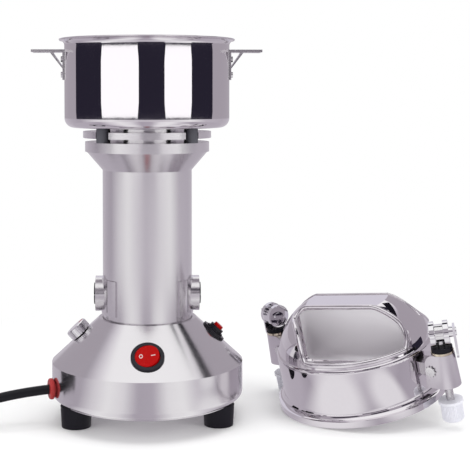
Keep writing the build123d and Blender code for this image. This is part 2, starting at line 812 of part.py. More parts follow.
def make_switch():
    """Round rocker switch: body with bezel, rocker at its off side, and its metal pin and terminals."""
    body = rod(bezel_r, switch_seat, bezel_rise) + rod(switch_body_r, -switch_depth, switch_seat)
    body -= rod(switch_body_r - switch_wall, -well_depth, bezel_rise + 1)
    body -= bar_y(rocker_pin_r + seat_gap, -switch_body_r - 1, switch_body_r + 1)
    top_edges = body.edges().filter_by(GeomType.CIRCLE).group_by(Axis.Z)[-1]
    body = fillet(top_edges.sort_by(SortBy.RADIUS)[-1:], 0.9)
    outline = Polyline((-rocker_r, -rocker_below), (-rocker_r, rocker_rise), (0, rocker_valley),
                       (rocker_r, rocker_rise), (rocker_r, -rocker_below), close=True)
    rocker = extrude(Plane.XZ * make_face(outline), rocker_r, both=True)
    rocker = rocker & rod(rocker_r, -2 * rocker_r, 2 * rocker_r)
    rocker -= bar_y(rocker_pin_r + running, -2 * rocker_r, 2 * rocker_r)
    rocker = Rot(Y=-rocker_half_angle) * rocker
    pin_half = switch_body_r - 0.3
    pin = bar_y(rocker_pin_r, -pin_half, pin_half)
    blade = Box(terminal_thickness, terminal_width, terminal_length)
    drop = -switch_depth - terminal_length / 2
    tabs = [Pos(sx * terminal_x, sy * terminal_y, drop) * blade for sx in (-1, 1) for sy in (-1, 1)]
    return switch_place * body, switch_place * rocker, switch_place * group([pin] + tabs)


def make_timer():
    """Timer body behind the cone and its knob, which carries the shaft."""
    low = -timer_bush_length
    body = rod(timer_bush_r, low, -seat_gap) + rod(timer_body_r, low - timer_body_depth, low)
    body -= rod(timer_shaft_r + running, low - timer_body_depth / 2, 1)
    knob = rod(knob_r, soft_gap, soft_gap + knob_height)
    knob = chamfer(knob.edges().filter_by(GeomType.CIRCLE).group_by(Axis.Z)[-1], knob_edge)
    knob += rod(timer_shaft_r, low - timer_body_depth / 2 + soft_gap, soft_gap + 1)
    return timer_place * body, timer_place * knob


def make_breaker():
    """Overload breaker: flange, collar and body in one moulding, and the reset button."""
    top = breaker_flange + breaker_collar
    low = -breaker_bush_length
    body = rod(breaker_flange_r, breaker_seat, breaker_flange) + rod(breaker_collar_r, 0, top)
    body += rod(breaker_bush_r, low, 0) + rod(breaker_body_r, low - breaker_body_depth, low)
    button_low = top + button_rise - button_length
    body -= rod(button_r + running, button_low - button_travel - soft_gap, top + 1)
    button = rod(button_r, button_low, top + button_rise)
    button = chamfer(button.edges().filter_by(GeomType.CIRCLE).group_by(Axis.Z)[-1], 0.6)
    return breaker_place * body, breaker_place * button


def make_pocket(side):
    """Finger pocket in front of the lid's grip bar (side -1), raked at its left end, or behind it (side 1)."""
    web = side * grip_web / 2 - grip_offset
    out = web + side * pocket_reach_r
    rake = math.tan(math.radians(pocket_rake)) * pocket_reach_r
    near, far = (-pocket_left, rake - pocket_left) if side < 0 else (-pocket_right, -pocket_right)
    outline = Polyline((near, web), (pocket_right, web), (pocket_right, out), (far, out), close=True)
    plan = Circle(pocket_reach_r) & make_face(outline)
    pocket = extrude(Pos(0, 0, pocket_floor) * plan, bar_height, dir=(0, 0, 1))
    end_side = math.sqrt(pocket_reach_r ** 2 - pocket_right ** 2) - abs(web)
    corner_r = min(pocket_corner_r, 0.72 * end_side)
    pocket = fillet(pocket.edges().filter_by(Axis.Z), corner_r)
    return fillet(pocket.edges().group_by(Axis.Z)[0], min(pocket_floor_r, 0.85 * corner_r))


def make_lid_shell():
    """Lid with a flared rim, a shoulder and a dome that two pockets leave as a grip bar."""
    cove_top = lid_band + lid_cove
    wall_top = shoulder_height - shoulder_r
    shoulder_in = lid_wall_r - 0.55 * shoulder_r
    rim = (lid_rim_r, 0)
    band = (lid_rim_r, lid_band)
    foot = (lid_wall_r, cove_top)
    wall = (lid_wall_r, wall_top)
    shoulder = (shoulder_in, shoulder_height)
    crown = (bar_half_length, bar_height)
    cove_mid = (lid_wall_r + 0.27 * (lid_rim_r - lid_wall_r), lid_band + 0.37 * lid_cove)
    shoulder_mid = (lid_wall_r - 0.14 * shoulder_r, wall_top + 0.62 * shoulder_r)
    run = Vector(crown[0] - shoulder[0], crown[1] - shoulder[1])
    out = Vector(run.Y, -run.X).normalized() * dome_fullness * (bar_height - shoulder_height)
    side_mid = ((shoulder[0] + crown[0]) / 2 + out.X, (shoulder[1] + crown[1]) / 2 + out.Y)
    edges = [line((0, 0), rim), line(rim, band), arc(band, cove_mid, foot), line(foot, wall)]
    edges += [arc(wall, shoulder_mid, shoulder), arc(shoulder, side_mid, crown)]
    edges += [line(crown, (0, bar_height)), line((0, bar_height), (0, 0))]
    body = turned_edges(edges)
    for side in (-1, 1):
        body -= make_pocket(side)
    top_edges = body.edges().filter_by(GeomType.LINE).filter_by(lambda e: abs(e.center().Z - bar_height) < 0.01)
    body = fillet(top_edges, bar_edge_r)
    body -= rod(lid_wall_r - lid_shell, -1, lid_hollow_top)
    mid_r = (lid_wall_r - lid_shell + lid_rim_r) / 2
    half = gasket_width / 2
    body -= ring(mid_r + half + seat_gap, mid_r - half - seat_gap, -1, gasket_depth)
    gasket = ring(mid_r + half, mid_r - half, gasket_depth - gasket_height, gasket_depth)
    return body, gasket


def make_clamp(side):
    """One clamp in the lid's frame, on its right side, with its lever turned about the bolt."""
    half = bracket_half_width
    inner = half - bracket_wall
    lug_half = lug_height / 2
    lug = block(lid_wall_r - 3, pivot_r, -lug_half_width, lug_half_width,
                pivot_height - lug_half, pivot_height + lug_half)
    lug += bar_y(lug_end_r, -lug_half_width, lug_half_width, pivot_r, pivot_height)
    lug -= rod(lid_wall_r + seat_gap, 0, bracket_top)
    lug -= bar_y(pivot_pin_r + running, -half, half, pivot_r, pivot_height)

    plan = Pos((bracket_back + bolt_circle_r) / 2, 0) * Rectangle(bolt_circle_r - bracket_back, 2 * half)
    plan += Pos(bolt_circle_r, 0) * Circle(half)
    height = bracket_top - bracket_low
    bracket = extrude(Pos(0, 0, bracket_top) * plan, height, dir=(0, 0, -1), taper=-bracket_flare)
    back_edge = bracket.edges().filter_by(Axis.Y).group_by(Axis.Z)[-1]
    bracket = fillet(back_edge, bracket_back_r)
    web_z = bracket_low + bracket_plate
    hollow = block(lid_wall_r, bolt_circle_r, -inner, inner, web_z, bracket_top - bracket_plate)
    hollow += rod(inner, web_z, bracket_top - bracket_plate, bolt_circle_r)
    bracket -= hollow
    bracket -= block(lid_wall_r, bracket_web_from, -inner, inner, bracket_low - 1, web_z + 1)
    bracket -= rod(bolt_r + running, bracket_low - 1, bracket_top + 1, bolt_circle_r)
    bracket -= bar_y(pivot_pin_r + running, -2 * half, 2 * half, pivot_r, pivot_height)

    flare = math.tan(math.radians(bracket_flare)) * (bracket_top - pivot_height + star_r)
    star_in = half + flare + soft_gap
    pin_half = star_in + star_thickness
    pin = bar_y(pivot_pin_r, -pin_half, pin_half, pivot_r, pivot_height)
    star = bar_y(star_r, star_in, star_in + star_thickness, pivot_r, pivot_height)
    star -= bar_y(pivot_pin_r + seat_gap, 0, 2 * half, pivot_r, pivot_height)
    stars = [star, mirror(star, Plane.XZ)]

    washer_top = bracket_top + ring_thickness
    bolt_hole = bolt_r + running
    washer = ring(ring_r, bolt_hole, bracket_top, washer_top, bolt_circle_r)
    cushion = ring(cushion_r, bolt_hole, washer_top, cushion_top, bolt_circle_r)

    eye_half = eye_thickness / 2
    nut_low = nut_bottom[side]
    nut_top = nut_low + nut_length
    bolt = bar_x(eye_r, -eye_half, eye_half) + rod(bolt_r, nut_low - bolt_tip - lever_z, 0)
    bolt -= bar_x(lever_pin_r + running, -eye_r, eye_r)
    cam_in = eye_half + eye_gap
    cam_out = cam_in + cam_thickness
    lever = bar_x(cam_r, cam_in, cam_out, y=-cam_throw) + bar_x(cam_r, -cam_out, -cam_in, y=-cam_throw)
    bridge_in = eye_r + eye_gap
    bridge_out = cam_r - cam_throw - 0.3
    lever += block(-cam_out, cam_out, bridge_in, bridge_out, -3.0, 3.0)
    lever += bar_x(lever_pin_head_r + 1.0, cam_out, handle_offset + handle_thickness)
    half_handle = handle_width / 2
    handle_out = handle_offset + handle_thickness
    handle_low = half_handle - handle_length
    lever += block(handle_offset, handle_out, -half_handle, half_handle, handle_low, handle_top)
    lever += bar_x(half_handle, handle_offset, handle_out, z=handle_low)
    lever -= bar_x(lever_pin_r + seat_gap, -2 * cam_out, 2 * cam_out)
    pin_end = handle_out + lever_pin_head
    lever_pin = bar_x(lever_pin_r, -cam_out - lever_pin_head, pin_end)
    lever_pin += bar_x(lever_pin_head_r, -cam_out - lever_pin_head, -cam_out)
    lever_pin += bar_x(lever_pin_head_r, handle_out, pin_end)
    at_bolt = Pos(bolt_circle_r, 0, lever_z) * Rot(Z=cam_yaw[side])

    nut = rod(nut_flange_r, nut_top - nut_flange, nut_top) + rod(nut_r, nut_low, nut_top - nut_flange)
    nut -= rod(bolt_hole, nut_low - 1, nut_top + 1)
    low_edges = nut.edges().filter_by(GeomType.CIRCLE).group_by(Axis.Z)[0]
    nut = chamfer(low_edges.sort_by(SortBy.RADIUS)[-1:], nut_edge)
    nut = Pos(bolt_circle_r, 0, 0) * nut

    place = lid_place * Rot(Z=sides[side])
    pieces = {"lug": [lug], "pin": [pin] + stars, "bracket": [bracket, washer], "cushion": [cushion],
              "bolt": [at_bolt * bolt], "lever": [at_bolt * lever, at_bolt * lever_pin], "nut": [nut]}
    return {name: [place * solid for solid in solids] for name, solids in pieces.items()}


def make_exit():
    """Grommet in the drum wall, terminal block on the flange and capacitor on the cover."""
    inner_face = drum_r - base_wall
    outer = drum_r + soft_gap
    collar = inner_face - grommet_collar_gap
    tail_length = grommet_inner - grommet_collar
    grommet = bar_x(grommet_r, outer, drum_r + grommet_face)
    grommet = fillet(grommet.edges().filter_by(GeomType.CIRCLE), 1.8)
    grommet += bar_x(grommet_body_r, collar - 1.0, outer + 2.0)
    grommet += bar_x(grommet_body_r + 1.0, collar - grommet_collar, collar)
    tail = Rot(Y=-90) * Cone(grommet_body_r, grommet_tail_r, tail_length)
    grommet += Pos(collar - grommet_collar - tail_length / 2, 0, 0) * tail
    grommet -= bar_x(cord_r + running, inner_face - 2 * grommet_inner, drum_r + 2 * grommet_face)
    floor = base_z + base_wall - cord_exit_height
    clear = floor + foot_nut_height + 0.7
    half = block_width / 2
    end = cord_inner_end
    terminal = block(end - block_depth, end, -half, half, clear, floor + block_height)
    terminal += block(end - block_depth, end, -half, block_foot - half, floor, clear)
    box = Pos(capacitor_x, capacitor_y, base_z + capacitor_height / 2)
    can = Box(capacitor_length, capacitor_width, capacitor_height)
    capacitor = box * fillet(can.edges().filter_by(Axis.Z), 3.0)
    return exit_place * grommet, exit_place * terminal, capacitor


def spiral_point(turns):
    """Middle of the coiled cord after a number of turns: in on the floor, a climb, and out above."""
    total_in = coil_turns_in + 0.25
    total_out = coil_turns_in + 0.5
    radius = coil_start_r - coil_pitch * (turns if turns <= total_in else 2 * total_in - turns)
    share = min(max((turns - coil_turns_in) / (total_out - coil_turns_in), 0.0), 1.0)
    climb = share * share * (3 - 2 * share) * coil_layer
    lean = math.atan(coil_pitch / (2 * math.pi * coil_start_r))
    turn = -math.pi / 2 + lean - 2 * math.pi * turns
    height = cord_r + cord_lift + climb
    return Vector(coil_x + radius * math.cos(turn), coil_y + radius * math.sin(turn), height)


def spiral_tangent(turns):
    """Direction of the coiled cord after a number of turns."""
    step = 1e-4
    return (spiral_point(turns + step) - spiral_point(turns - step)).normalized()


def tangent_arc(start, direction, end):
    """Arc from a point, leaving along a direction, to another point."""
    chord = end - start
    aside = direction - chord * (direction.dot(chord) / chord.dot(chord))
    if aside.length < 1e-6:
        return Line(start, end)
    rise = chord.length / 2 * math.tan(math.radians(direction.get_angle(chord)) / 2)
    return ThreePointArc(start, start + chord / 2 + aside.normalized() * rise, end)


def biarc(start, out, end, into):
    """Two arcs that join smoothly and leave and arrive along given directions."""
    span = end - start
    both = out + into
    spread = 2 * (1 - out.dot(into))
    reach = span.dot(both)
    size = (-reach + math.sqrt(reach * reach + spread * span.dot(span))) / spread
    joint = (start + end + (out - into) * size) / 2
    second = tangent_arc(end, into * -1, joint)
    middle = second @ 0.5
    return [tangent_arc(start, out, joint), ThreePointArc(joint, middle, end)]


def sweep_tube(path):
    """Round cord along a path."""
    section = Plane(path @ 0, z_dir=path % 0) * Circle(cord_r)
    return sweep(section, path=path)


def make_coil():
    """Put-away length of cord: one tube in two layers of turns, with its tie."""
    turns = coil_turns_in + 0.5 + coil_turns_out
    count = round(4 * turns)
    stops = [i * turns / count for i in range(count + 1)]
    edges = []
    first = spiral_tangent(0)
    last = spiral_tangent(turns)
    flat_last = Vector(last.X, last.Y, 0).normalized()
    run = 2 * cord_r
    edges.append(Line(spiral_point(0) - first * run, spiral_point(0)))
    for a, b in zip(stops, stops[1:]):
        edges += biarc(spiral_point(a), spiral_tangent(a), spiral_point(b), spiral_tangent(b))
    edges.append(Line(spiral_point(turns), spiral_point(turns) + flat_last * run))
    path = Wire(edges)
    tube = sweep_tube(path)
    samples = [spiral_point(turns * i / 600) for i in range(601)]
    apart = round(600 / turns / 3)
    least = min((samples[i] - samples[j]).length for i in range(601) for j in range(i + apart, 601))
    print("coil length", round(path.length, 1), "least gap", round(least - 2 * cord_r, 2),
          "volume ratio", round(tube.volume / (math.pi * cord_r ** 2 * path.length), 4))
    east = [0.75, coil_turns_in + 0.5, coil_turns_in + 1.5]
    reach = [spiral_point(t).X - coil_x for t in east]
    low = min(reach) - cord_r - tie_slack
    high = max(reach) + cord_r + soft_gap
    top = 2 * cord_r + cord_lift + coil_layer + soft_gap
    bottom = cord_lift - soft_gap
    half = tie_width / 2
    band = block(low - tie_strip, high + tie_strip, -half, half, bottom - tie_strip, top + tie_strip)
    band -= block(low, high, -tie_width, tie_width, bottom, top)
    start = spiral_point(0) - first * run
    end = spiral_point(turns) + flat_last * run
    return tube, Pos(coil_x, coil_y, 0) * band, start, first, end, flat_last


def make_lead(coil_start, coil_direction):
    """Cord from the terminal block, out of the grommet and down to the coil."""
    out = Vector(math.cos(exit_turn), math.sin(exit_turn), 0)
    start = out * cord_inner_end + Vector(0, 0, cord_exit_height)
    points = [start, out * lead_straight + Vector(0, 0, cord_exit_height), Vector(*lead_middle)]
    points += [coil_start - coil_direction * lead_last, coil_start]
    radii = []
    for a, b, c in zip(points, points[1:], points[2:]):
        turn = math.radians((b - a).get_angle(c - b))
        shorter = min((b - a).length, (c - b).length)
        radii.append(0.45 * shorter / math.tan(turn / 2))
    path = FilletPolyline(*points, radius=radii)
    tube = sweep_tube(path)
    runs = [round((b - a).length) for a, b in zip(points, points[1:])]
    print("lead radii", [round(r) for r in radii], "runs", runs)
    print("lead length", round(path.length, 1),
          "volume ratio", round(tube.volume / (math.pi * cord_r ** 2 * path.length), 4))
    return tube


def make_plug(end, direction):
    """Moulded plug with a tapered neck and two round pins, at the coil's end."""
    place = Plane(end, x_dir=(0, 0, 1), z_dir=direction).location
    neck = Pos(0, 0, plug_neck / 2) * Cone(cord_r + 1.0, plug_neck_r, plug_neck)
    body = rod(plug_r, plug_neck, plug_neck + plug_length)
    body = fillet(body.edges().filter_by(GeomType.CIRCLE), 3.0)
    plug = neck + body
    tip = plug_neck + plug_length
    pins = []
    for y in (-plug_pin_spacing / 2, plug_pin_spacing / 2):
        plug -= rod(plug_pin_r + seat_gap, tip - 8.0, tip + 1, 0, y)
        pins.append(rod(plug_pin_r, tip - 8.0, tip + plug_pin_length, 0, y))
    return place * plug, place * group(pins)


def main():
    """Make every piece and write one file for each."""
    nodes = {"base_housing": make_base(), "bottom_cover": make_cover()}
    nodes["rubber_feet"], nodes["foot_fasteners"] = make_feet()
    nodes["motor_column"] = make_column()
    nodes["brush_holders"], nodes["carbon_brushes"], nodes["brush_caps"] = make_brushes()
    (nodes["end_bell"], nodes["motor_bearings"], nodes["bearing_retainer"],
     nodes["tie_bolts"], nodes["stator_core"], nodes["field_coils"]) = make_motor_frame()
    (nodes["motor_shaft"], nodes["commutator"], nodes["armature_core"],
     nodes["armature_winding"], nodes["cooling_fan"]) = make_rotor()
    nodes["neck_flange"], nodes["neck_buffers"], nodes["shaft_seal"] = make_neck()
    nodes["bowl"], nodes["bowl_screws"] = make_bowl()
    ear = make_ear()
    nodes["bowl_ears"] = group([ear, Rot(Z=180) * ear])
    nodes["ear_rivets"] = make_rivets()
    nodes["lower_blade"], nodes["upper_blade"], nodes["blade_spacers"], nodes["blade_nut"] = make_blades()
    nodes["power_switch"], nodes["switch_rocker"], nodes["switch_contacts"] = make_switch()
    nodes["timer_body"], nodes["timer_knob"] = make_timer()
    nodes["overload_breaker"], nodes["reset_button"] = make_breaker()
    lid, gasket = make_lid_shell()
    nodes["lid_shell"] = lid_place * Rot(Z=bar_turn) * lid
    nodes["lid_gasket"] = lid_place * gasket
    clamps = {side: make_clamp(side) for side in sides}
    nodes["hinge_lugs"] = group(s for c in clamps.values() for s in c["lug"])
    nodes["hinge_pins"] = group(s for c in clamps.values() for s in c["pin"])
    for side, clamp in clamps.items():
        for piece in ("bracket", "cushion", "bolt", "lever", "nut"):
            nodes["clamp_" + piece + "_" + side] = group(clamp[piece])
    nodes["cord_grommet"], nodes["terminal_block"], nodes["capacitor"] = make_exit()
    coil, tie, coil_start, coil_direction, coil_end, end_direction = make_coil()
    nodes["cord_coil"] = coil
    nodes["cord_tie"] = tie
    nodes["power_cord"] = make_lead(coil_start, coil_direction)
    nodes["plug_body"], nodes["plug_pins"] = make_plug(coil_end, end_direction)
    os.makedirs("parts", exist_ok=True)
    for name, shape in nodes.items():
        export_step(shape, "parts/" + name + ".step")
    print(len(nodes), "pieces, lid tilt", round(lid_tilt, 2), "lid height", round(lid_z, 2))


if __name__ == "__main__":
    main()
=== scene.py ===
"""Looks of an upright electric powder grinder with its lid beside it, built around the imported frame."""

from __future__ import annotations

import json
import logging
import math
from dataclasses import dataclass, field
from enum import Enum

import bmesh
import bpy
from mathutils import Matrix, Vector

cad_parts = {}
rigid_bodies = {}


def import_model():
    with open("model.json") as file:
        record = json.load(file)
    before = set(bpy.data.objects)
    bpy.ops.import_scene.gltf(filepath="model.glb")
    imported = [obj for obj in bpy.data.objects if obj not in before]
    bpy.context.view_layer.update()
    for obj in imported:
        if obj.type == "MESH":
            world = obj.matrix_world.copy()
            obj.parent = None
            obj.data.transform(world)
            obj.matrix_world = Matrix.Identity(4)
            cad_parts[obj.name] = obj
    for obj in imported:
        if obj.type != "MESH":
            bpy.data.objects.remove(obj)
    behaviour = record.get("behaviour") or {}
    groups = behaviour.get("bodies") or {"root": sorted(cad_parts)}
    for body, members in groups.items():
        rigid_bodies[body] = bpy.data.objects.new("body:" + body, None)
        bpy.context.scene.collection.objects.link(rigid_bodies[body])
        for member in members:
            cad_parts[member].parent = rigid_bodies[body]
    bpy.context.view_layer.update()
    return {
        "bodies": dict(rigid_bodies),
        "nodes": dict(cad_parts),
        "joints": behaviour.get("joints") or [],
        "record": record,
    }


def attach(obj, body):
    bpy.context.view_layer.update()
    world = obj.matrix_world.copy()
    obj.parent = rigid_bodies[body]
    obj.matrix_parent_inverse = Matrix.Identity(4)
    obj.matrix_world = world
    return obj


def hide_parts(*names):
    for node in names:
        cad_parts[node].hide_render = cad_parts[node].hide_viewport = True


LOG = logging.getLogger("grinder")
MM = 0.001
Colour = tuple[float, float, float]


class Grain(Enum):
    """How the fine structure of a surface runs."""

    EVEN = "even"
    SPUN = "spun"
    DRAWN = "drawn"
    CAST = "cast"


class Side(Enum):
    """The two clamps of the lid, by the turn about the lid's axis and the height of the nut's foot."""

    RIGHT = ("right", 0.0, -16.5, 31.0)
    LEFT = ("left", 180.0, -13.33, -21.0)

    def __init__(self, label: str, turn: float, nut_foot: float, cam_turn: float) -> None:
        """Keep the side's name, turn in degrees, nut height in millimetres and lever turn in degrees."""
        self.label = label
        self.turn = turn
        self.nut_foot = nut_foot
        self.cam_turn = cam_turn


@dataclass(frozen=True)
class Finish:
    """A surface finish: its shader values and the grain that varies them."""

    name: str
    colour: Colour
    roughness: float
    metallic: float = 0.0
    grain: Grain = Grain.EVEN
    scale: float = 600.0
    shade: float = 0.06
    rough_spread: float = 0.05
    bump: float = 0.05
    specular: float = 0.5

    def material(self) -> bpy.types.Material:
        """Make the material once and give it back on later calls.

        Returns:
            The node material of this finish.
        """
        made = bpy.data.materials.get(self.name)
        if made is not None:
            return made
        made = bpy.data.materials.new(self.name)
        made.use_nodes = True
        tree = made.node_tree
        shader = tree.nodes["Principled BSDF"]
        shader.inputs["Metallic"].default_value = self.metallic
        shader.inputs["Specular IOR Level"].default_value = self.specular
        fine = self._noise(tree, self._place(tree), self.scale, 4.0)
        broad = self._noise(tree, self._coordinates(tree), 14.0, 2.0)
        both = tree.nodes.new("ShaderNodeMath")
        both.operation = "MULTIPLY_ADD"
        tree.links.new(fine, both.inputs[0])
        both.inputs[1].default_value = 0.6
        tree.links.new(self._times(tree, broad, 0.4), both.inputs[2])
        ramp = tree.nodes.new("ShaderNodeValToRGB")
        dark = [max(0.0, c * (1 - self.shade)) for c in self.colour]
        light = [min(1.0, c * (1 + self.shade)) for c in self.colour]
        ramp.color_ramp.elements[0].position = 0.3
        ramp.color_ramp.elements[0].color = (*dark, 1)
        ramp.color_ramp.elements[1].position = 0.7
        ramp.color_ramp.elements[1].color = (*light, 1)
        tree.links.new(both.outputs[0], ramp.inputs["Fac"])
        tree.links.new(ramp.outputs["Color"], shader.inputs["Base Color"])
        spread = tree.nodes.new("ShaderNodeMapRange")
        spread.inputs["From Min"].default_value = 0.3
        spread.inputs["From Max"].default_value = 0.7
        spread.inputs["To Min"].default_value = max(0.01, self.roughness - self.rough_spread)
        spread.inputs["To Max"].default_value = min(1.0, self.roughness + self.rough_spread)
        tree.links.new(both.outputs[0], spread.inputs["Value"])
        tree.links.new(spread.outputs["Result"], shader.inputs["Roughness"])
        if self.bump > 0:
            relief = tree.nodes.new("ShaderNodeBump")
            relief.inputs["Strength"].default_value = self.bump
            relief.inputs["Distance"].default_value = 0.0004
            tree.links.new(fine, relief.inputs["Height"])
            tree.links.new(relief.outputs["Normal"], shader.inputs["Normal"])
        return made

    @staticmethod
    def _coordinates(tree: bpy.types.NodeTree) -> bpy.types.NodeSocket:
        """Give the object coordinates of the surface."""
        return tree.nodes.new("ShaderNodeTexCoord").outputs["Object"]

    @staticmethod
    def _times(tree: bpy.types.NodeTree, value: bpy.types.NodeSocket, by: float) -> bpy.types.NodeSocket:
        """Give a value times a number."""
        node = tree.nodes.new("ShaderNodeMath")
        node.operation = "MULTIPLY"
        tree.links.new(value, node.inputs[0])
        node.inputs[1].default_value = by
        return node.outputs[0]

    def _place(self, tree: bpy.types.NodeTree) -> bpy.types.NodeSocket:
        """Lay out the coordinates that the grain follows.

        Args:
            tree: The material's node tree.

        Returns:
            A vector socket, stretched along the grain.
        """
        start = self._coordinates(tree)
        if self.grain is Grain.DRAWN:
            stretch = tree.nodes.new("ShaderNodeMapping")
            stretch.inputs["Scale"].default_value = (1.0, 1.0, 0.03)
            tree.links.new(start, stretch.inputs["Vector"])
            return stretch.outputs["Vector"]
        if self.grain is Grain.SPUN:
            split = tree.nodes.new("ShaderNodeSeparateXYZ")
            tree.links.new(start, split.inputs["Vector"])
            flat = tree.nodes.new("ShaderNodeCombineXYZ")
            tree.links.new(split.outputs["X"], flat.inputs["X"])
            tree.links.new(split.outputs["Y"], flat.inputs["Y"])
            reach = tree.nodes.new("ShaderNodeVectorMath")
            reach.operation = "LENGTH"
            tree.links.new(flat.outputs["Vector"], reach.inputs[0])
            turn = tree.nodes.new("ShaderNodeMath")
            turn.operation = "ARCTAN2"
            tree.links.new(split.outputs["Y"], turn.inputs[0])
            tree.links.new(split.outputs["X"], turn.inputs[1])
            rolled = tree.nodes.new("ShaderNodeCombineXYZ")
            tree.links.new(reach.outputs["Value"], rolled.inputs["X"])
            tree.links.new(self._times(tree, turn.outputs[0], 0.002), rolled.inputs["Y"])
            tree.links.new(split.outputs["Z"], rolled.inputs["Z"])
            return rolled.outputs["Vector"]
        return start

    def _noise(
        self, tree: bpy.types.NodeTree, place: bpy.types.NodeSocket, scale: float, detail: float
    ) -> bpy.types.NodeSocket:
        """Add a noise texture.

        Args:
            tree: The material's node tree.
            place: The vector socket it reads.
            scale: Waves a metre.
            detail: Octaves.

        Returns:
            The noise's value socket.
        """
        node = tree.nodes.new("ShaderNodeTexNoise")
        node.inputs["Scale"].default_value = scale
        node.inputs["Detail"].default_value = detail + (2.0 if self.grain is Grain.CAST else 0.0)
        node.inputs["Roughness"].default_value = 0.6
        tree.links.new(place, node.inputs["Vector"])
        return node.outputs["Fac"]


MIRROR = Finish("mirror_steel", (0.75, 0.72, 0.75), 0.03, 1.0, Grain.EVEN, 300, 0.012, 0.01, 0.003)
LID_STEEL = Finish("lid_steel", (0.75, 0.72, 0.75), 0.035, 1.0, Grain.EVEN, 300, 0.012, 0.01, 0.003)
COLUMN = Finish("satin_alloy", (0.72, 0.70, 0.72), 0.20, 1.0, Grain.EVEN, 2600, 0.02, 0.02, 0.015)
BASE = Finish("satin_casting", (0.74, 0.72, 0.74), 0.15, 1.0, Grain.SPUN, 1500, 0.02, 0.02, 0.012)
PLATE = Finish("pressed_steel", (0.66, 0.64, 0.66), 0.22, 1.0, Grain.DRAWN, 1800, 0.05, 0.05, 0.03)
BRACKET = Finish("satin_bracket", (0.70, 0.665, 0.705), 0.30, 1.0, Grain.DRAWN, 1600, 0.02, 0.03, 0.006)
BRIGHT = Finish("bright_hardware", (0.74, 0.73, 0.74), 0.12, 1.0, Grain.EVEN, 1200, 0.05, 0.04, 0.02)
CHROME = Finish("chromed_steel", (0.80, 0.79, 0.81), 0.04, 1.0, Grain.EVEN, 900, 0.02, 0.02, 0.005)
WASHER = Finish("yellowed_washer", (0.74, 0.66, 0.52), 0.16, 1.0, Grain.EVEN, 1200, 0.06, 0.04, 0.02)
FOOT = Finish("foot_rubber", (0.010, 0.009, 0.014), 0.46, grain=Grain.CAST, scale=1400, shade=0.2, bump=0.12,
              specular=0.14)
BUFFER = Finish("buffer_rubber", (0.085, 0.085, 0.10), 0.5, grain=Grain.CAST, scale=1400, shade=0.15, bump=0.12,
                specular=0.3)
GASKET = Finish("seal_silicone", (0.80, 0.80, 0.78), 0.45, grain=Grain.CAST, scale=900, shade=0.03, bump=0.06)
RED_RUBBER = Finish("grommet_rubber", (0.40, 0.03, 0.03), 0.42, grain=Grain.CAST, scale=1500, shade=0.1, bump=0.08,
                    specular=0.3)
BLACK = Finish("moulded_black", (0.013, 0.012, 0.017), 0.30, grain=Grain.CAST, scale=1700, shade=0.15, bump=0.06,
               specular=0.25)
RED = Finish("glossy_red", (0.38, 0.003, 0.003), 0.16, grain=Grain.EVEN, scale=500, shade=0.05, bump=0.008,
             specular=0.06)
WHITE = Finish("moulded_white", (0.80, 0.80, 0.86), 0.34, grain=Grain.CAST, scale=1500, shade=0.02, bump=0.04)
MARK = Finish("mark_white", (0.66, 0.55, 0.55), 0.4, grain=Grain.EVEN, scale=900, shade=0.02, bump=0.01)
CORD = Finish("cord_rubber", (0.010, 0.010, 0.013), 0.34, grain=Grain.CAST, scale=1500, shade=0.15, bump=0.06,
              specular=0.14)
BRASS = Finish("bright_brass", (0.78, 0.60, 0.28), 0.2, 1.0, Grain.DRAWN, 1500, 0.05, 0.05, 0.02)
CARBON = Finish("pressed_carbon", (0.04, 0.04, 0.042), 0.6, grain=Grain.CAST, scale=1800, shade=0.2, bump=0.15)
IRON = Finish("core_laminate", (0.26, 0.26, 0.27), 0.42, 0.8, Grain.SPUN, 3000, 0.12, 0.08, 0.1)
COPPER = Finish("lacquered_copper", (0.60, 0.25, 0.11), 0.28, 0.9, Grain.SPUN, 2600, 0.12, 0.08, 0.12)
YELLOW = Finish("film_yellow", (0.75, 0.50, 0.05), 0.25, grain=Grain.EVEN, scale=500, shade=0.04, bump=0.01)


def calc(tree: bpy.types.NodeTree, operation: str, *values: bpy.types.NodeSocket | float) -> bpy.types.NodeSocket:
    """Add a math node.

    Args:
        tree: The shader tree.
        operation: The node's operation.
        values: Its inputs, sockets or numbers.

    Returns:
        The node's output socket.
    """
    node = tree.nodes.new("ShaderNodeMath")
    node.operation = operation
    for slot, value in zip(node.inputs, values):
        if isinstance(value, bpy.types.NodeSocket):
            tree.links.new(value, slot)
        else:
            slot.default_value = value
    return node.outputs[0]


def split_place(tree: bpy.types.NodeTree, place: Matrix | None = None) -> bpy.types.NodeSocketCollection:
    """Give the surface's X, Y and Z in the object's own frame, or in a frame that lies in it.

    Args:
        tree: The shader tree.
        place: The frame, when it isn't the object's own.

    Returns:
        The sockets X, Y and Z.
    """
    spot = tree.nodes.new("ShaderNodeTexCoord").outputs["Object"]
    if place is not None:
        local = tree.nodes.new("ShaderNodeMapping")
        local.vector_type = "TEXTURE"
        local.inputs["Location"].default_value = place.to_translation()
        local.inputs["Rotation"].default_value = place.to_euler()
        tree.links.new(spot, local.inputs["Vector"])
        spot = local.outputs["Vector"]
    node = tree.nodes.new("ShaderNodeSeparateXYZ")
    tree.links.new(spot, node.inputs["Vector"])
    return node.outputs


def dress(frame: dict, finish: Finish, *nodes: str) -> None:
    """Give CAD nodes a finish.

    Args:
        frame: The loaded frame.
        finish: The finish they get.
        nodes: The nodes' names.
    """
    for name in nodes:
        mesh = frame["nodes"][name].data
        if mesh.materials:
            mesh.materials[0] = finish.material()
        else:
            mesh.materials.append(finish.material())


def turn(axis: str, degrees: float) -> Matrix:
    """Give a rotation about an axis."""
    return Matrix.Rotation(math.radians(degrees), 4, axis)


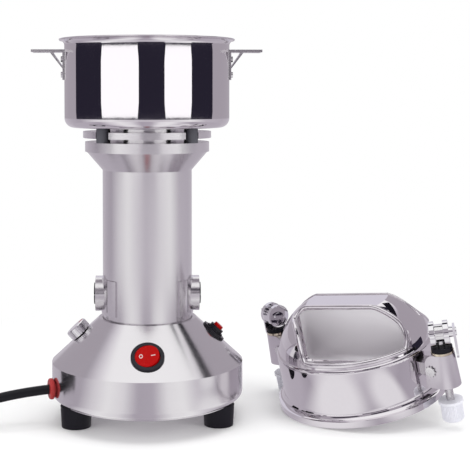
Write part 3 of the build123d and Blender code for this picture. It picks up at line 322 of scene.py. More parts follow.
def shift(x: float, y: float, z: float) -> Matrix:
    """Give a move in millimetres."""
    return Matrix.Translation((x * MM, y * MM, z * MM))


def add_piece(
    name: str, mesh: bpy.types.Mesh, finish: Finish, body: str, smooth_below: float = 40.0
) -> bpy.types.Object:
    """Add a finished mesh to the scene as a piece of a body.

    Args:
        name: The piece's name.
        mesh: Its mesh, in place.
        finish: Its finish.
        body: The body it rides on.
        smooth_below: Edges sharper than this many degrees stay sharp.

    Returns:
        The piece.
    """
    mesh.name = name
    mesh.materials.clear()
    mesh.materials.append(finish.material())
    mesh.shade_smooth()
    mesh.set_sharp_from_angle(angle=math.radians(smooth_below))
    piece = bpy.data.objects.new(name, mesh)
    bpy.context.scene.collection.objects.link(piece)
    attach(piece, body)
    LOG.info("piece %s: %d faces on %s", name, len(mesh.polygons), body)
    return piece


def mesh_from(build: bmesh.types.BMesh, name: str) -> bpy.types.Mesh:
    """Close a bmesh's doubles, turn its faces outwards and make it a mesh.

    Args:
        build: The bmesh, which is freed.
        name: The mesh's name.

    Returns:
        The mesh.
    """
    bmesh.ops.remove_doubles(build, verts=build.verts, dist=1e-7)
    bmesh.ops.recalc_face_normals(build, faces=build.faces)
    mesh = bpy.data.meshes.new(name)
    build.to_mesh(mesh)
    build.free()
    return mesh


def lathe(profile: list[tuple[float, float]], place: Matrix, steps: int = 64) -> bpy.types.Mesh:
    """Turn a closed outline about Z.

    Args:
        profile: Radius and height of each corner, in millimetres.
        place: Where the turned shape goes.
        steps: Facets round it.

    Returns:
        The mesh.
    """
    build = bmesh.new()
    rows = []
    for i in range(steps):
        a = 2 * math.pi * i / steps
        rows.append([build.verts.new((r * MM * math.cos(a), r * MM * math.sin(a), z * MM)) for r, z in profile])
    count = len(profile)
    for i in range(steps):
        here, there = rows[i], rows[(i + 1) % steps]
        for k in range(count):
            n = (k + 1) % count
            build.faces.new((here[k], there[k], there[n], here[n]))
    mesh = mesh_from(build, "turned")
    mesh.transform(place)
    return mesh


def tube_along(points: list[Vector], radius: float, closed: bool, sides: int = 12) -> bpy.types.Mesh:
    """Make a round bead along points in metres.

    Args:
        points: The bead's middle line.
        radius: The bead's radius in millimetres.
        closed: Whether the line runs round.
        sides: Facets round the bead.

    Returns:
        The mesh.
    """
    data = bpy.data.curves.new("bead", "CURVE")
    data.dimensions = "3D"
    line = data.splines.new("POLY")
    line.points.add(len(points) - 1)
    for spot, point in zip(line.points, points):
        spot.co = (*point, 1)
    line.use_cyclic_u = closed
    data.bevel_depth = radius * MM
    data.bevel_resolution = max(1, sides // 4)
    data.use_fill_caps = not closed
    carrier = bpy.data.objects.new("bead", data)
    bpy.context.scene.collection.objects.link(carrier)
    bpy.context.view_layer.update()
    mesh = bpy.data.meshes.new_from_object(carrier.evaluated_get(bpy.context.evaluated_depsgraph_get()))
    bpy.data.objects.remove(carrier)
    bpy.data.curves.remove(data)
    return mesh


@dataclass
class Repeat:
    """A Geometry Nodes tree for shapes that repeat, with named sizes."""

    name: str
    inputs: dict[str, float] = field(default_factory=dict)

    def _tree(self, sizes: dict[str, type]) -> tuple[bpy.types.NodeTree, bpy.types.Node, bpy.types.Node]:
        """Start the tree with its inputs.

        Args:
            sizes: Input names and whether each is int or float.

        Returns:
            The tree and its group input and output nodes.
        """
        tree = bpy.data.node_groups.new(self.name, "GeometryNodeTree")
        tree.interface.new_socket("Geometry", in_out="INPUT", socket_type="NodeSocketGeometry")
        tree.interface.new_socket("Geometry", in_out="OUTPUT", socket_type="NodeSocketGeometry")
        for label, kind in sizes.items():
            sort = "NodeSocketInt" if kind is int else "NodeSocketFloat"
            tree.interface.new_socket(label, in_out="INPUT", socket_type=sort)
        tree.interface.new_socket("Finish", in_out="INPUT", socket_type="NodeSocketMaterial")
        return tree, tree.nodes.new("NodeGroupInput"), tree.nodes.new("NodeGroupOutput")

    @staticmethod
    def _end(tree: bpy.types.NodeTree, given: bpy.types.Node, out: bpy.types.Node,
             instances: bpy.types.NodeSocket) -> None:
        """End the tree in real geometry with its finish.

        Args:
            tree: The tree.
            given: Its group input node.
            out: Its group output node.
            instances: The instances' socket.
        """
        real = tree.nodes.new("GeometryNodeRealizeInstances")
        paint = tree.nodes.new("GeometryNodeSetMaterial")
        tree.links.new(instances, real.inputs["Geometry"])
        tree.links.new(real.outputs["Geometry"], paint.inputs["Geometry"])
        tree.links.new(given.outputs["Finish"], paint.inputs["Material"])
        tree.links.new(paint.outputs["Geometry"], out.inputs["Geometry"])

    def mesh(self, tree: bpy.types.NodeTree, finish: Finish, place: Matrix) -> bpy.types.Mesh:
        """Run the tree with this shape's sizes and keep the result as a plain mesh.

        Args:
            tree: The tree.
            finish: The finish that the tree sets.
            place: Where the result goes.

        Returns:
            The mesh, in place.
        """
        carrier = bpy.data.objects.new(self.name, bpy.data.meshes.new(self.name))
        modifier = carrier.modifiers.new("repeat", "NODES")
        modifier.node_group = tree
        for item in tree.interface.items_tree:
            if item.in_out == "INPUT" and item.name in self.inputs:
                modifier[item.identifier] = self.inputs[item.name]
            elif item.in_out == "INPUT" and item.name == "Finish":
                modifier[item.identifier] = finish.material()
        bpy.context.scene.collection.objects.link(carrier)
        bpy.context.view_layer.update()
        made = bpy.data.meshes.new_from_object(carrier.evaluated_get(bpy.context.evaluated_depsgraph_get()))
        carrier.modifiers.remove(modifier)
        bpy.data.objects.remove(carrier)
        made.transform(place)
        return made


class RibRing(Repeat):
    """Upright ribs or teeth spread round a circle."""

    def make(self, finish: Finish, place: Matrix) -> bpy.types.Mesh:
        """Make the ring of ribs.

        Args:
            finish: The ribs' finish.
            place: Where the ring's foot goes, with its axis along Z.

        Returns:
            The mesh.
        """
        tree = bpy.data.node_groups.get(self.name)
        if tree is None:
            tree, given, out = self._tree(
                {"Count": int, "Circle": float, "Rib": float, "Depth": float, "Height": float})
            ring = tree.nodes.new("GeometryNodeMeshCircle")
            tree.links.new(given.outputs["Count"], ring.inputs["Vertices"])
            tree.links.new(given.outputs["Circle"], ring.inputs["Radius"])
            rib = tree.nodes.new("GeometryNodeMeshCylinder")
            rib.inputs["Vertices"].default_value = 8
            rib.inputs["Radius"].default_value = 0.5
            rib.inputs["Depth"].default_value = 1.0
            size = tree.nodes.new("ShaderNodeCombineXYZ")
            tree.links.new(given.outputs["Depth"], size.inputs["X"])
            tree.links.new(given.outputs["Rib"], size.inputs["Y"])
            tree.links.new(given.outputs["Height"], size.inputs["Z"])
            where = tree.nodes.new("GeometryNodeInputPosition")
            split = tree.nodes.new("ShaderNodeSeparateXYZ")
            tree.links.new(where.outputs["Position"], split.inputs["Vector"])
            facing = tree.nodes.new("ShaderNodeMath")
            facing.operation = "ARCTAN2"
            tree.links.new(split.outputs["Y"], facing.inputs[0])
            tree.links.new(split.outputs["X"], facing.inputs[1])
            spin = tree.nodes.new("ShaderNodeCombineXYZ")
            tree.links.new(facing.outputs[0], spin.inputs["Z"])
            spread = tree.nodes.new("GeometryNodeInstanceOnPoints")
            tree.links.new(ring.outputs["Mesh"], spread.inputs["Points"])
            tree.links.new(rib.outputs["Mesh"], spread.inputs["Instance"])
            tree.links.new(spin.outputs["Vector"], spread.inputs["Rotation"])
            tree.links.new(size.outputs["Vector"], spread.inputs["Scale"])
            self._end(tree, given, out, spread.outputs["Instances"])
        return self.mesh(tree, finish, place @ Matrix.Translation((0, 0, self.inputs["Height"] / 2)))


class RingRow(Repeat):
    """Round rings in a row along Z, such as a thread's crests or a cord guard's ribs."""

    def make(self, finish: Finish, place: Matrix) -> bpy.types.Mesh:
        """Make the row of rings.

        Args:
            finish: The rings' finish.
            place: Where the first ring goes, with the row along Z.

        Returns:
            The mesh.
        """
        tree = bpy.data.node_groups.get(self.name)
        if tree is None:
            tree, given, out = self._tree({"Count": int, "Pitch": float, "Circle": float, "Wire": float})
            step = tree.nodes.new("ShaderNodeCombineXYZ")
            tree.links.new(given.outputs["Pitch"], step.inputs["Z"])
            row = tree.nodes.new("GeometryNodeMeshLine")
            tree.links.new(given.outputs["Count"], row.inputs["Count"])
            tree.links.new(step.outputs["Vector"], row.inputs["Offset"])
            path = tree.nodes.new("GeometryNodeCurvePrimitiveCircle")
            path.inputs["Resolution"].default_value = 32
            tree.links.new(given.outputs["Circle"], path.inputs["Radius"])
            wire = tree.nodes.new("GeometryNodeCurvePrimitiveCircle")
            wire.inputs["Resolution"].default_value = 8
            tree.links.new(given.outputs["Wire"], wire.inputs["Radius"])
            body = tree.nodes.new("GeometryNodeCurveToMesh")
            tree.links.new(path.outputs["Curve"], body.inputs["Curve"])
            tree.links.new(wire.outputs["Curve"], body.inputs["Profile Curve"])
            spread = tree.nodes.new("GeometryNodeInstanceOnPoints")
            tree.links.new(row.outputs["Mesh"], spread.inputs["Points"])
            tree.links.new(body.outputs["Mesh"], spread.inputs["Instance"])
            self._end(tree, given, out, spread.outputs["Instances"])
        return self.mesh(tree, finish, place)


@dataclass
class Base:
    """Domed base with its feet, switch, timer, breaker and wiring."""

    frame: dict
    drum_r: float = 93.0
    cone_low: float = 57.0
    cone_height: float = 42.0
    cone_top_r: float = 47.5
    switch_r: float = 73.0
    timer_r: float = 64.5
    breaker_r: float = 64.5
    rocker_lean: float = 10.0
    rocker_face: float = 2.2
    mark_out: float = 5.7
    knob_r: float = 10.8
    knob_height: float = 9.0

    def on_cone(self, degrees: float, r: float) -> Matrix:
        """Give a frame on the cone: X along its round, Y up its slope, Z outwards.

        Args:
            degrees: Turn about the motor's axis, from +X.
            r: Distance from the axis, in millimetres.

        Returns:
            The frame.
        """
        a = math.radians(degrees)
        run = self.drum_r - self.cone_top_r
        out = Vector((math.cos(a), math.sin(a), 0))
        along = Vector((-math.sin(a), math.cos(a), 0))
        normal = (out * self.cone_height + Vector((0, 0, run))).normalized()
        height = self.cone_low + (self.drum_r - r) * self.cone_height / run
        up = normal.cross(along)
        spot = (out * r + Vector((0, 0, height))) * MM
        return Matrix((
            (along.x, up.x, normal.x, spot.x),
            (along.y, up.y, normal.y, spot.y),
            (along.z, up.z, normal.z, spot.z),
            (0, 0, 0, 1)))

    def build(self) -> None:
        """Make the switch's marks, the knob's grip and pointer and the breaker's ring nut with its ribs."""
        switch = self.on_cone(-90, self.switch_r) @ turn("Y", -self.rocker_lean)
        lift = self.rocker_face + self.mark_out * 0.0877 + 0.02
        lean = math.degrees(math.atan(0.0877))
        left = switch @ shift(-self.mark_out, 0, lift) @ turn("Y", lean)
        right = switch @ shift(self.mark_out, 0, lift) @ turn("Y", -lean)
        tall = left @ Matrix.Diagonal((1, 1.25, 1, 1))
        ring = lathe([(1.1, -0.2), (1.75, -0.2), (1.75, 0.16), (1.1, 0.16)], tall, 40)
        add_piece("switch_mark_off", ring, MARK, "rocker", 30)
        add_piece("switch_mark_on", self._bar(2.1, 0.45, 0.16, right), MARK, "rocker", 30)
        knob = self.on_cone(180, self.timer_r)
        grip = RibRing("rib_ring", {"Count": 44, "Circle": (self.knob_r + 0.02) * MM, "Rib": 0.9 * MM,
                                    "Depth": 0.7 * MM, "Height": (self.knob_height - 2.4) * MM})
        add_piece("knob_grip", grip.make(CHROME, knob @ shift(0, 0, 1.2)), CHROME, "timer_dial")
        pointer = knob @ shift(0, self.knob_r - 3.6, 0.3 + self.knob_height)
        add_piece("knob_pointer", self._bar(0.6, 2.4, 0.2, pointer), RED, "timer_dial", 30)
        nut = lathe([(7.4, 1.9), (8.6, 1.9), (8.6, 3.4), (7.4, 3.4)], self.on_cone(0, self.breaker_r), 48)
        add_piece("breaker_ring_nut", nut, BLACK, "machine", 30)
        ribs = RibRing("rib_ring", {"Count": 28, "Circle": 8.6 * MM, "Rib": 0.9 * MM, "Depth": 0.8 * MM,
                                    "Height": 1.5 * MM})
        add_piece("breaker_nut_ribs", ribs.make(BLACK, self.on_cone(0, self.breaker_r) @ shift(0, 0, 1.9)), BLACK,
                  "machine")

    @staticmethod
    def _bar(half_x: float, half_y: float, height: float, place: Matrix) -> bpy.types.Mesh:
        """Make a raised bar with softened corners.

        Args:
            half_x: Half its length, in millimetres.
            half_y: Half its width, in millimetres.
            height: How far it stands up, in millimetres.
            place: The middle of its foot.

        Returns:
            The mesh.
        """
        build = bmesh.new()
        bmesh.ops.create_cube(build, size=1.0)
        bmesh.ops.scale(build, vec=(2 * half_x * MM, 2 * half_y * MM, (height + 0.3) * MM), verts=build.verts)
        bmesh.ops.translate(build, vec=(0, 0, (height - 0.3) / 2 * MM), verts=build.verts)
        bmesh.ops.bevel(build, geom=build.edges, offset=0.12 * MM, segments=2, affect="EDGES", profile=0.5)
        mesh = mesh_from(build, "bar")
        mesh.transform(place)
        return mesh

    def dress(self) -> None:
        """Give the base's own nodes their finishes."""
        dress(self.frame, BASE, "base_housing")
        dress(self.frame, PLATE, "bottom_cover")
        dress(self.frame, FOOT, "rubber_feet")
        dress(self.frame, BRIGHT, "foot_fasteners")
        dress(self.frame, BLACK, "power_switch", "overload_breaker", "timer_body", "terminal_block")
        dress(self.frame, RED, "switch_rocker", "reset_button")
        dress(self.frame, CHROME, "timer_knob")
        dress(self.frame, RED_RUBBER, "cord_grommet")
        dress(self.frame, BRASS, "switch_contacts")
        dress(self.frame, YELLOW, "capacitor")


@dataclass
class Column:
    """Motor column with its motor inside and the neck on top."""

    frame: dict

    def dress(self) -> None:
        """Give the column's, the neck's and the motor's nodes their finishes."""
        dress(self.frame, COLUMN, "motor_column", "neck_flange", "end_bell")
        dress(self.frame, BUFFER, "neck_buffers")
        dress(self.frame, BLACK, "brush_caps", "cooling_fan")
        dress(self.frame, BRASS, "brush_holders")
        dress(self.frame, CARBON, "carbon_brushes")
        dress(self.frame, BRIGHT, "motor_bearings", "tie_bolts", "motor_shaft")
        dress(self.frame, PLATE, "bearing_retainer")
        dress(self.frame, IRON, "stator_core", "armature_core")
        dress(self.frame, COPPER, "field_coils", "armature_winding", "commutator")


@dataclass
class Bowl:
    """Steel bowl with its ears, blades and seal."""

    frame: dict
    rim_r: float = 84.4
    rim_z: float = 369.0

    def build(self) -> None:
        """Make the rolled bead of the rim."""
        steps = 160
        points = []
        for i in range(steps):
            a = 2 * math.pi * i / steps
            points.append(Vector((self.rim_r * math.cos(a), self.rim_r * math.sin(a), self.rim_z)) * MM)
        add_piece("rim_bead", tube_along(points, 0.75, True), MIRROR, "machine")

    def dress(self) -> None:
        """Give the bowl's nodes their finishes."""
        dress(self.frame, MIRROR, "bowl")
        dress(self.frame, PLATE, "bowl_ears")
        dress(self.frame, BRIGHT, "ear_rivets", "bowl_screws", "lower_blade", "upper_blade", "blade_spacers",
              "blade_nut")
        dress(self.frame, FOOT, "shaft_seal")


@dataclass
class Lid:
    """Clamp-down lid with its grip bar, lying on the table beside the machine."""

    frame: dict
    x: float = 217.0
    y: float = 16.0
    z: float = 20.515
    lean: float = -58.0
    tilt: float = 14.0
    twist: float = 12.5
    bar_turn: float = 13.0
    bar_height: float = 96.0
    bar_half: float = 41.0
    bulge: float = 6.5
    shoulder: tuple[float, float] = (76.07, 54.6)
    pocket_right: float = 66.6
    pocket_left: float = 52.9
    pocket_rake: float = 30.3
    pocket_floor: float = 39.0
    pocket_reach: float = 75.0
    pocket_corner: float = 9.5
    web: float = 34.0
    web_offset: float = 4.0
    lip_r: float = 2.5
    back_lip_r: float = 1.2
    satin: Colour = (0.86, 0.835, 0.865)

    def place(self) -> Matrix:
        """Give the lid's frame: its axis is Z and its clamps lie along X."""
        return shift(self.x, self.y, self.z) @ turn("Z", self.lean) @ turn("X", self.tilt) @ turn("Z", self.twist)

    def dome_height(self, r: float) -> float:
        """Give the dome's height at a distance from the lid's axis.

        Args:
            r: The distance, in millimetres.

        Returns:
            The height, in millimetres.
        """
        if r <= self.bar_half:
            return self.bar_height
        low = Vector(self.shoulder)
        high = Vector((self.bar_half, self.bar_height))
        run = high - low
        half = run.length / 2
        radius = (half * half + self.bulge * self.bulge) / (2 * self.bulge)
        out = Vector((run.y, -run.x)).normalized()
        middle = (low + high) / 2 + out * (self.bulge - radius)
        return middle.y + math.sqrt(max(0.0, radius * radius - (r - middle.x) ** 2))

    def _pocket(self, side: int) -> tuple[float, float, float]:
        """Give the limits of a pocket's plan.

        Args:
            side: -1 for the front pocket, 1 for the back one.

        Returns:
            The distance of its wall at the grip bar, its left end there and how that end leans with the distance.
        """
        web = self.web / 2 - side * self.web_offset
        if side < 0:
            return web, -self.pocket_left, math.tan(math.radians(self.pocket_rake))
        return web, -self.pocket_right, 0.0

    def _mouth(self, side: int) -> list[Vector]:
        """Give the edge of a pocket, in the grip bar's frame and millimetres.

        Args:
            side: -1 for the front pocket, 1 for the back one.

        Returns:
            Points round the pocket's mouth.
        """
        web, left, lean = self._pocket(side)
        c, right, inner = self.pocket_corner, self.pocket_right, self.pocket_reach - self.pocket_corner
        slope = math.hypot(1, lean)
        start = left - lean * web + c * slope
        root = math.sqrt((start * lean) ** 2 - slope * slope * (start * start - inner * inner))
        low = (root - start * lean) / (slope * slope)
        corners_at = [(start + lean * (web + c), web + c), (right - c, web + c),
                      (right - c, math.sqrt(inner * inner - (right - c) ** 2)), (start + lean * low, low)]
        end = math.atan2(lean, -1)
        first, last = (math.atan2(v, x) for x, v in corners_at[2:])
        sweeps = [(end, 1.5 * math.pi), (1.5 * math.pi, 2 * math.pi), (0.0, first), (last, end)]
        flat: list[tuple[float, float]] = []
        for k, ((x, v), (a, b)) in enumerate(zip(corners_at, sweeps)):
            if k == 3:
                arc = [first + (last - first) * n / 40 for n in range(1, 40)]
                flat += [(self.pocket_reach * math.cos(t), self.pocket_reach * math.sin(t)) for t in arc]
            turns = [a + (b - a) * n / 10 for n in range(11)]
            bend = [(x + c * math.cos(t), v + c * math.sin(t)) for t in turns]
            if flat and k == 1:
                flat += [(flat[-1][0] + (bend[0][0] - flat[-1][0]) * n / 24, bend[0][1]) for n in range(1, 24)]
            flat += bend
        head, tail = flat[0], flat[-1]
        flat += [(tail[0] + (head[0] - tail[0]) * n / 16, tail[1] + (head[1] - tail[1]) * n / 16) for n in range(1, 16)]
        return [Vector((x, side * v, self.dome_height(math.hypot(x, v)))) for x, v in flat]

    def build(self) -> None:
        """Make the rolled lips of the two pockets."""
        place = self.place() @ turn("Z", self.bar_turn)
        for name, side, lip in (("front", -1, self.lip_r), ("back", 1, self.back_lip_r)):
            points = [place @ (p * MM) for p in self._mouth(side)]
            add_piece("pocket_lip_" + name, tube_along(points, lip, True, 16), MIRROR, "lid", 60)

    def _satin_pockets(self) -> None:
        """Turn the back walls of the two pockets satin and paler, like blasted steel."""
        tree = LID_STEEL.material().node_tree
        shader = tree.nodes["Principled BSDF"]
        spot = split_place(tree, self.place() @ turn("Z", self.bar_turn))
        square = calc(tree, "ADD", calc(tree, "POWER", spot["X"], 2.0), calc(tree, "POWER", spot["Y"], 2.0))
        within = calc(tree, "LESS_THAN", square, ((self.pocket_reach + 0.2) * MM) ** 2)
        above = calc(tree, "GREATER_THAN", spot["Z"], (self.pocket_floor - 1) * MM)
        ahead = calc(tree, "LESS_THAN", spot["X"], (self.pocket_right + 0.2) * MM)
        inside = calc(tree, "MULTIPLY", calc(tree, "MULTIPLY", within, above), ahead)
        either: bpy.types.NodeSocket | float = 0.0
        for side in (-1, 1):
            web, left, lean = self._pocket(side)
            out = calc(tree, "MULTIPLY", spot["Y"], float(side))
            beyond = calc(tree, "COMPARE", out, (web + 1.2) * MM, 1.5 * MM)
            start = calc(tree, "MULTIPLY_ADD", out, -lean, spot["X"])
            right_of = calc(tree, "GREATER_THAN", start, (left - lean * web - 0.2) * MM)
            either = calc(tree, "MULTIPLY_ADD", beyond, right_of, either)
        inside = calc(tree, "MULTIPLY", inside, either)
        rough = shader.inputs["Roughness"].links[0].from_socket
        tree.links.new(calc(tree, "MULTIPLY_ADD", inside, 0.36, rough), shader.inputs["Roughness"])
        tree.links.new(calc(tree, "MULTIPLY_ADD", inside, -0.6, 1.0), shader.inputs["Metallic"])
        pale = tree.nodes.new("ShaderNodeMix")
        pale.data_type = "RGBA"
        tree.links.new(inside, pale.inputs[0])
        tree.links.new(shader.inputs["Base Color"].links[0].from_socket, pale.inputs[6])
        pale.inputs[7].default_value = (*self.satin, 1)
        tree.links.new(pale.outputs[2], shader.inputs["Base Color"])

    def dress(self) -> None:
        """Give the lid's nodes their finishes."""
        self._satin_pockets()
        dress(self.frame, LID_STEEL, "lid_shell")
        dress(self.frame, GASKET, "lid_gasket")
        dress(self.frame, PLATE, "hinge_lugs")
        dress(self.frame, BRIGHT, "hinge_pins")


@dataclass
class Clamp:
    """One swing clamp of the lid, with its bolt, cam lever and thumb nut."""

    frame: dict
    lid: Lid
    side: Side
    bolt_circle: float = 99.5
    bolt_r: float = 3.6
    nut_r: float = 9.8
    nut_length: float = 20.0
    nut_flange: float = 2.6
    bracket_low: float = 19.0
    pivot_r: float = 91.0
    pivot_height: float = 35.5
    star_at: float = 12.4
    star_r: float = 4.6

    def build(self) -> None:
        """Make the nut's ribs, the bolt's thread and the washers' teeth."""
        label = self.side.label
        clamp = self.lid.place() @ turn("Z", self.side.turn)
        bolt = clamp @ shift(self.bolt_circle, 0, 0)
        foot = self.side.nut_foot
        ribs = RibRing("rib_ring", {"Count": 40, "Circle": (self.nut_r + 0.05) * MM, "Rib": 0.95 * MM,
                                    "Depth": 0.9 * MM, "Height": (self.nut_length - self.nut_flange - 2.4) * MM})
        add_piece("nut_ribs_" + label, ribs.make(WHITE, bolt @ shift(0, 0, foot + 1.6)), WHITE, "nut_" + label)
        start = foot + self.nut_length + 1.0
        count = int((self.bracket_low - 1.5 - start) / 1.25)
        thread = RingRow("ring_row", {"Count": count, "Pitch": 1.25 * MM, "Circle": (self.bolt_r - 0.12) * MM,
                                      "Wire": 0.36 * MM})
        add_piece("bolt_thread_" + label, thread.make(BRIGHT, bolt @ shift(0, 0, start)), BRIGHT, "clamp_" + label,
                  70)
        band = lathe([(5.0, 50.9), (10.75, 50.9), (10.75, 53.2), (5.0, 53.2)], bolt, 48)
        add_piece("washer_ring_" + label, band, WASHER, "clamp_" + label, 30)
        for hand, sign in (("near", -1), ("far", 1)):
            spot = clamp @ shift(self.pivot_r, sign * self.star_at, self.pivot_height) @ turn("X", -90 * sign)
            teeth = RibRing("rib_ring", {"Count": 10, "Circle": (self.star_r + 0.1) * MM, "Rib": 1.5 * MM,
                                         "Depth": 2.2 * MM, "Height": 0.6 * MM})
            add_piece(f"washer_teeth_{label}_{hand}", teeth.make(BRIGHT, spot), BRIGHT, "lid")

    def dress(self) -> None:
        """Give the clamp's nodes their finishes."""
        label = self.side.label
        dress(self.frame, BRACKET, "clamp_bracket_" + label)
        dress(self.frame, FOOT, "clamp_cushion_" + label)
        dress(self.frame, BRIGHT, "clamp_bolt_" + label)
        dress(self.frame, CHROME, "clamp_lever_" + label)
        dress(self.frame, WHITE, "clamp_nut_" + label)


@dataclass
class MainsCord:
    """Power cord: out of the base, down to the table, and its spare length in a tied coil with the plug."""

    frame: dict
    radius: float = 4.5
    lift: float = 1.0
    exit_turn: float = 196.0
    exit_height: float = 35.0
    inner_end: float = 78.0
    straight: float = 116.0
    middle: tuple[float, float, float] = (-168.0, -41.0, 24.0)
    coil_x: float = -254.0
    coil_y: float = 12.0
    coil_r: float = 56.0
    pitch: float = 10.0
    layer: float = 9.7
    turns_in: float = 1.25
    turns: float = 3.25
    last: float = 30.0
    length: float = 1.197

    def coil_point(self, t: float) -> Vector:
        """Give the cord's middle after a number of turns, in millimetres.

        Args:
            t: Turns from the coil's start.

        Returns:
            The point.
        """
        top = self.turns_in + 0.25
        r = self.coil_r - self.pitch * (t if t <= top else 2 * top - t)
        share = min(max((t - self.turns_in) / 0.5, 0.0), 1.0)
        climb = share * share * (3 - 2 * share) * self.layer
        lean = math.atan(self.pitch / (2 * math.pi * self.coil_r))
        a = -math.pi / 2 + lean - 2 * math.pi * t
        return Vector((self.coil_x + r * math.cos(a), self.coil_y + r * math.sin(a), self.radius + self.lift + climb))

    def route(self) -> list[Vector]:
        """Give the points of the cord's route, in millimetres.

        Returns:
            The points from the terminal block to the plug.
        """
        a = math.radians(self.exit_turn)
        out = Vector((math.cos(a), math.sin(a), 0))
        up = Vector((0, 0, self.exit_height))
        run = 2 * self.radius
        first = (self.coil_point(1e-4) - self.coil_point(-1e-4)).normalized()
        final = (self.coil_point(self.turns + 1e-4) - self.coil_point(self.turns - 1e-4)).normalized()
        start = self.coil_point(0) - first * run
        points = [out * self.inner_end + up, out * self.straight + up, Vector(self.middle), start - first * self.last]
        steps = round(16 * self.turns)
        points += [self.coil_point(self.turns * k / steps) for k in range(steps + 1)]
        points.append(self.coil_point(self.turns) + final * run)
        return points

    def build(self) -> None:
        route = self.route()
        data = bpy.data.curves.new("mains_cord", "CURVE")
        data.dimensions = "3D"
        data.resolution_u = 8
        line = data.splines.new("NURBS")
        line.points.add(len(route) - 1)
        for spot, point in zip(line.points, route):
            spot.co = (*(point * MM), 1)
        line.order_u = 3
        line.use_endpoint_u = True
        data.bevel_depth = self.radius * MM
        data.bevel_resolution = 5
        data.use_fill_caps = True
        data.materials.append(CORD.material())
        cord = bpy.data.objects.new("mains_cord", data)
        bpy.context.scene.collection.objects.link(cord)
        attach(cord, "machine")
        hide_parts("power_cord", "cord_coil")
        end = route[-1]
        along = (route[-1] - route[-2]).normalized()
        place = Matrix.Translation(end * MM) @ along.to_track_quat("Z", "Y").to_matrix().to_4x4()
        guard = RingRow("ring_row", {"Count": 6, "Pitch": 2.9 * MM, "Circle": 6.3 * MM, "Wire": 0.95 * MM})
        ribs = add_piece("plug_guard_ribs", guard.make(CORD, place @ shift(0, 0, 2.5)), CORD, "machine",
                         70)
        grip = RibRing("rib_ring", {"Count": 30, "Circle": 14.9 * MM, "Rib": 1.5 * MM, "Depth": 1.2 * MM,
                                    "Height": 16 * MM})
        ridges = add_piece("plug_grip_ribs", grip.make(CORD, place @ shift(0, 0, 30)), CORD, "machine")
        LOG.info("cord with %d points", len(route))

    def dress(self) -> None:
        """Give the plug's and the tie's nodes their finishes."""
        dress(self.frame, CORD, "plug_body")
        dress(self.frame, BRASS, "plug_pins")
        dress(self.frame, BLACK, "cord_tie")


@dataclass(frozen=True)
class Tones:
    """Brightness of a reflection card: pairs of a place along it, from 0 to 1, and a level."""

    stops: tuple[tuple[float, float], ...]

    @classmethod
    def round_about(cls, *stops: tuple[float, float]) -> Tones:
        """Give tones by degrees to the right of the front.

        Args:
            stops: Pairs of degrees, from -180 to 180, and a level.

        Returns:
            The tones.
        """
        return cls(tuple(((degrees + 180) / 360, level) for degrees, level in stops))

    @staticmethod
    def colour(level: float) -> Colour:
        """Give a level's colour, which turns lilac as it darkens.

        Args:
            level: The brightness.

        Returns:
            The colour.
        """
        dim = 1 - min(max((level - 0.5) / 0.5, 0.0), 1.0)
        return (level, level * (1 - 0.075 * dim), level * (1 + 0.04 * dim))

    def fill(self, ramp: bpy.types.ColorRamp) -> None:
        """Write the tones into a colour ramp."""
        while len(ramp.elements) < len(self.stops):
            ramp.elements.new(0.5)
        for element, (place, level) in zip(ramp.elements, self.stops):
            element.position = place
            element.color = (*self.colour(level), 1)


FLOOR_TONES = Tones.round_about((-180, 0.55), (-95, 0.55), (-71, 0.47), (-54, 0.80), (-38, 1.0), (-23, 0.88),
                                (-9, 0.50), (5, 0.52), (19, 0.94), (34, 1.0), (49, 0.72), (66, 0.46),
                                (86, 0.54), (180, 0.55))
WALL_TONES = Tones.round_about((-180, 0.62), (-156, 0.62), (-104, 0.48), (-74, 0.84), (-50, 1.0), (-27, 0.80),
                               (-5, 0.66), (16, 0.72), (38, 0.88), (61, 1.0), (88, 0.62), (124, 0.56), (180, 0.62))
ROOF_TONES = Tones(((0.0, 0.40), (0.06, 0.36), (0.16, 0.72), (0.245, 1.0), (0.78, 1.0), (0.83, 0.92), (0.89, 0.64),
                    (0.95, 0.46), (1.0, 0.44)))


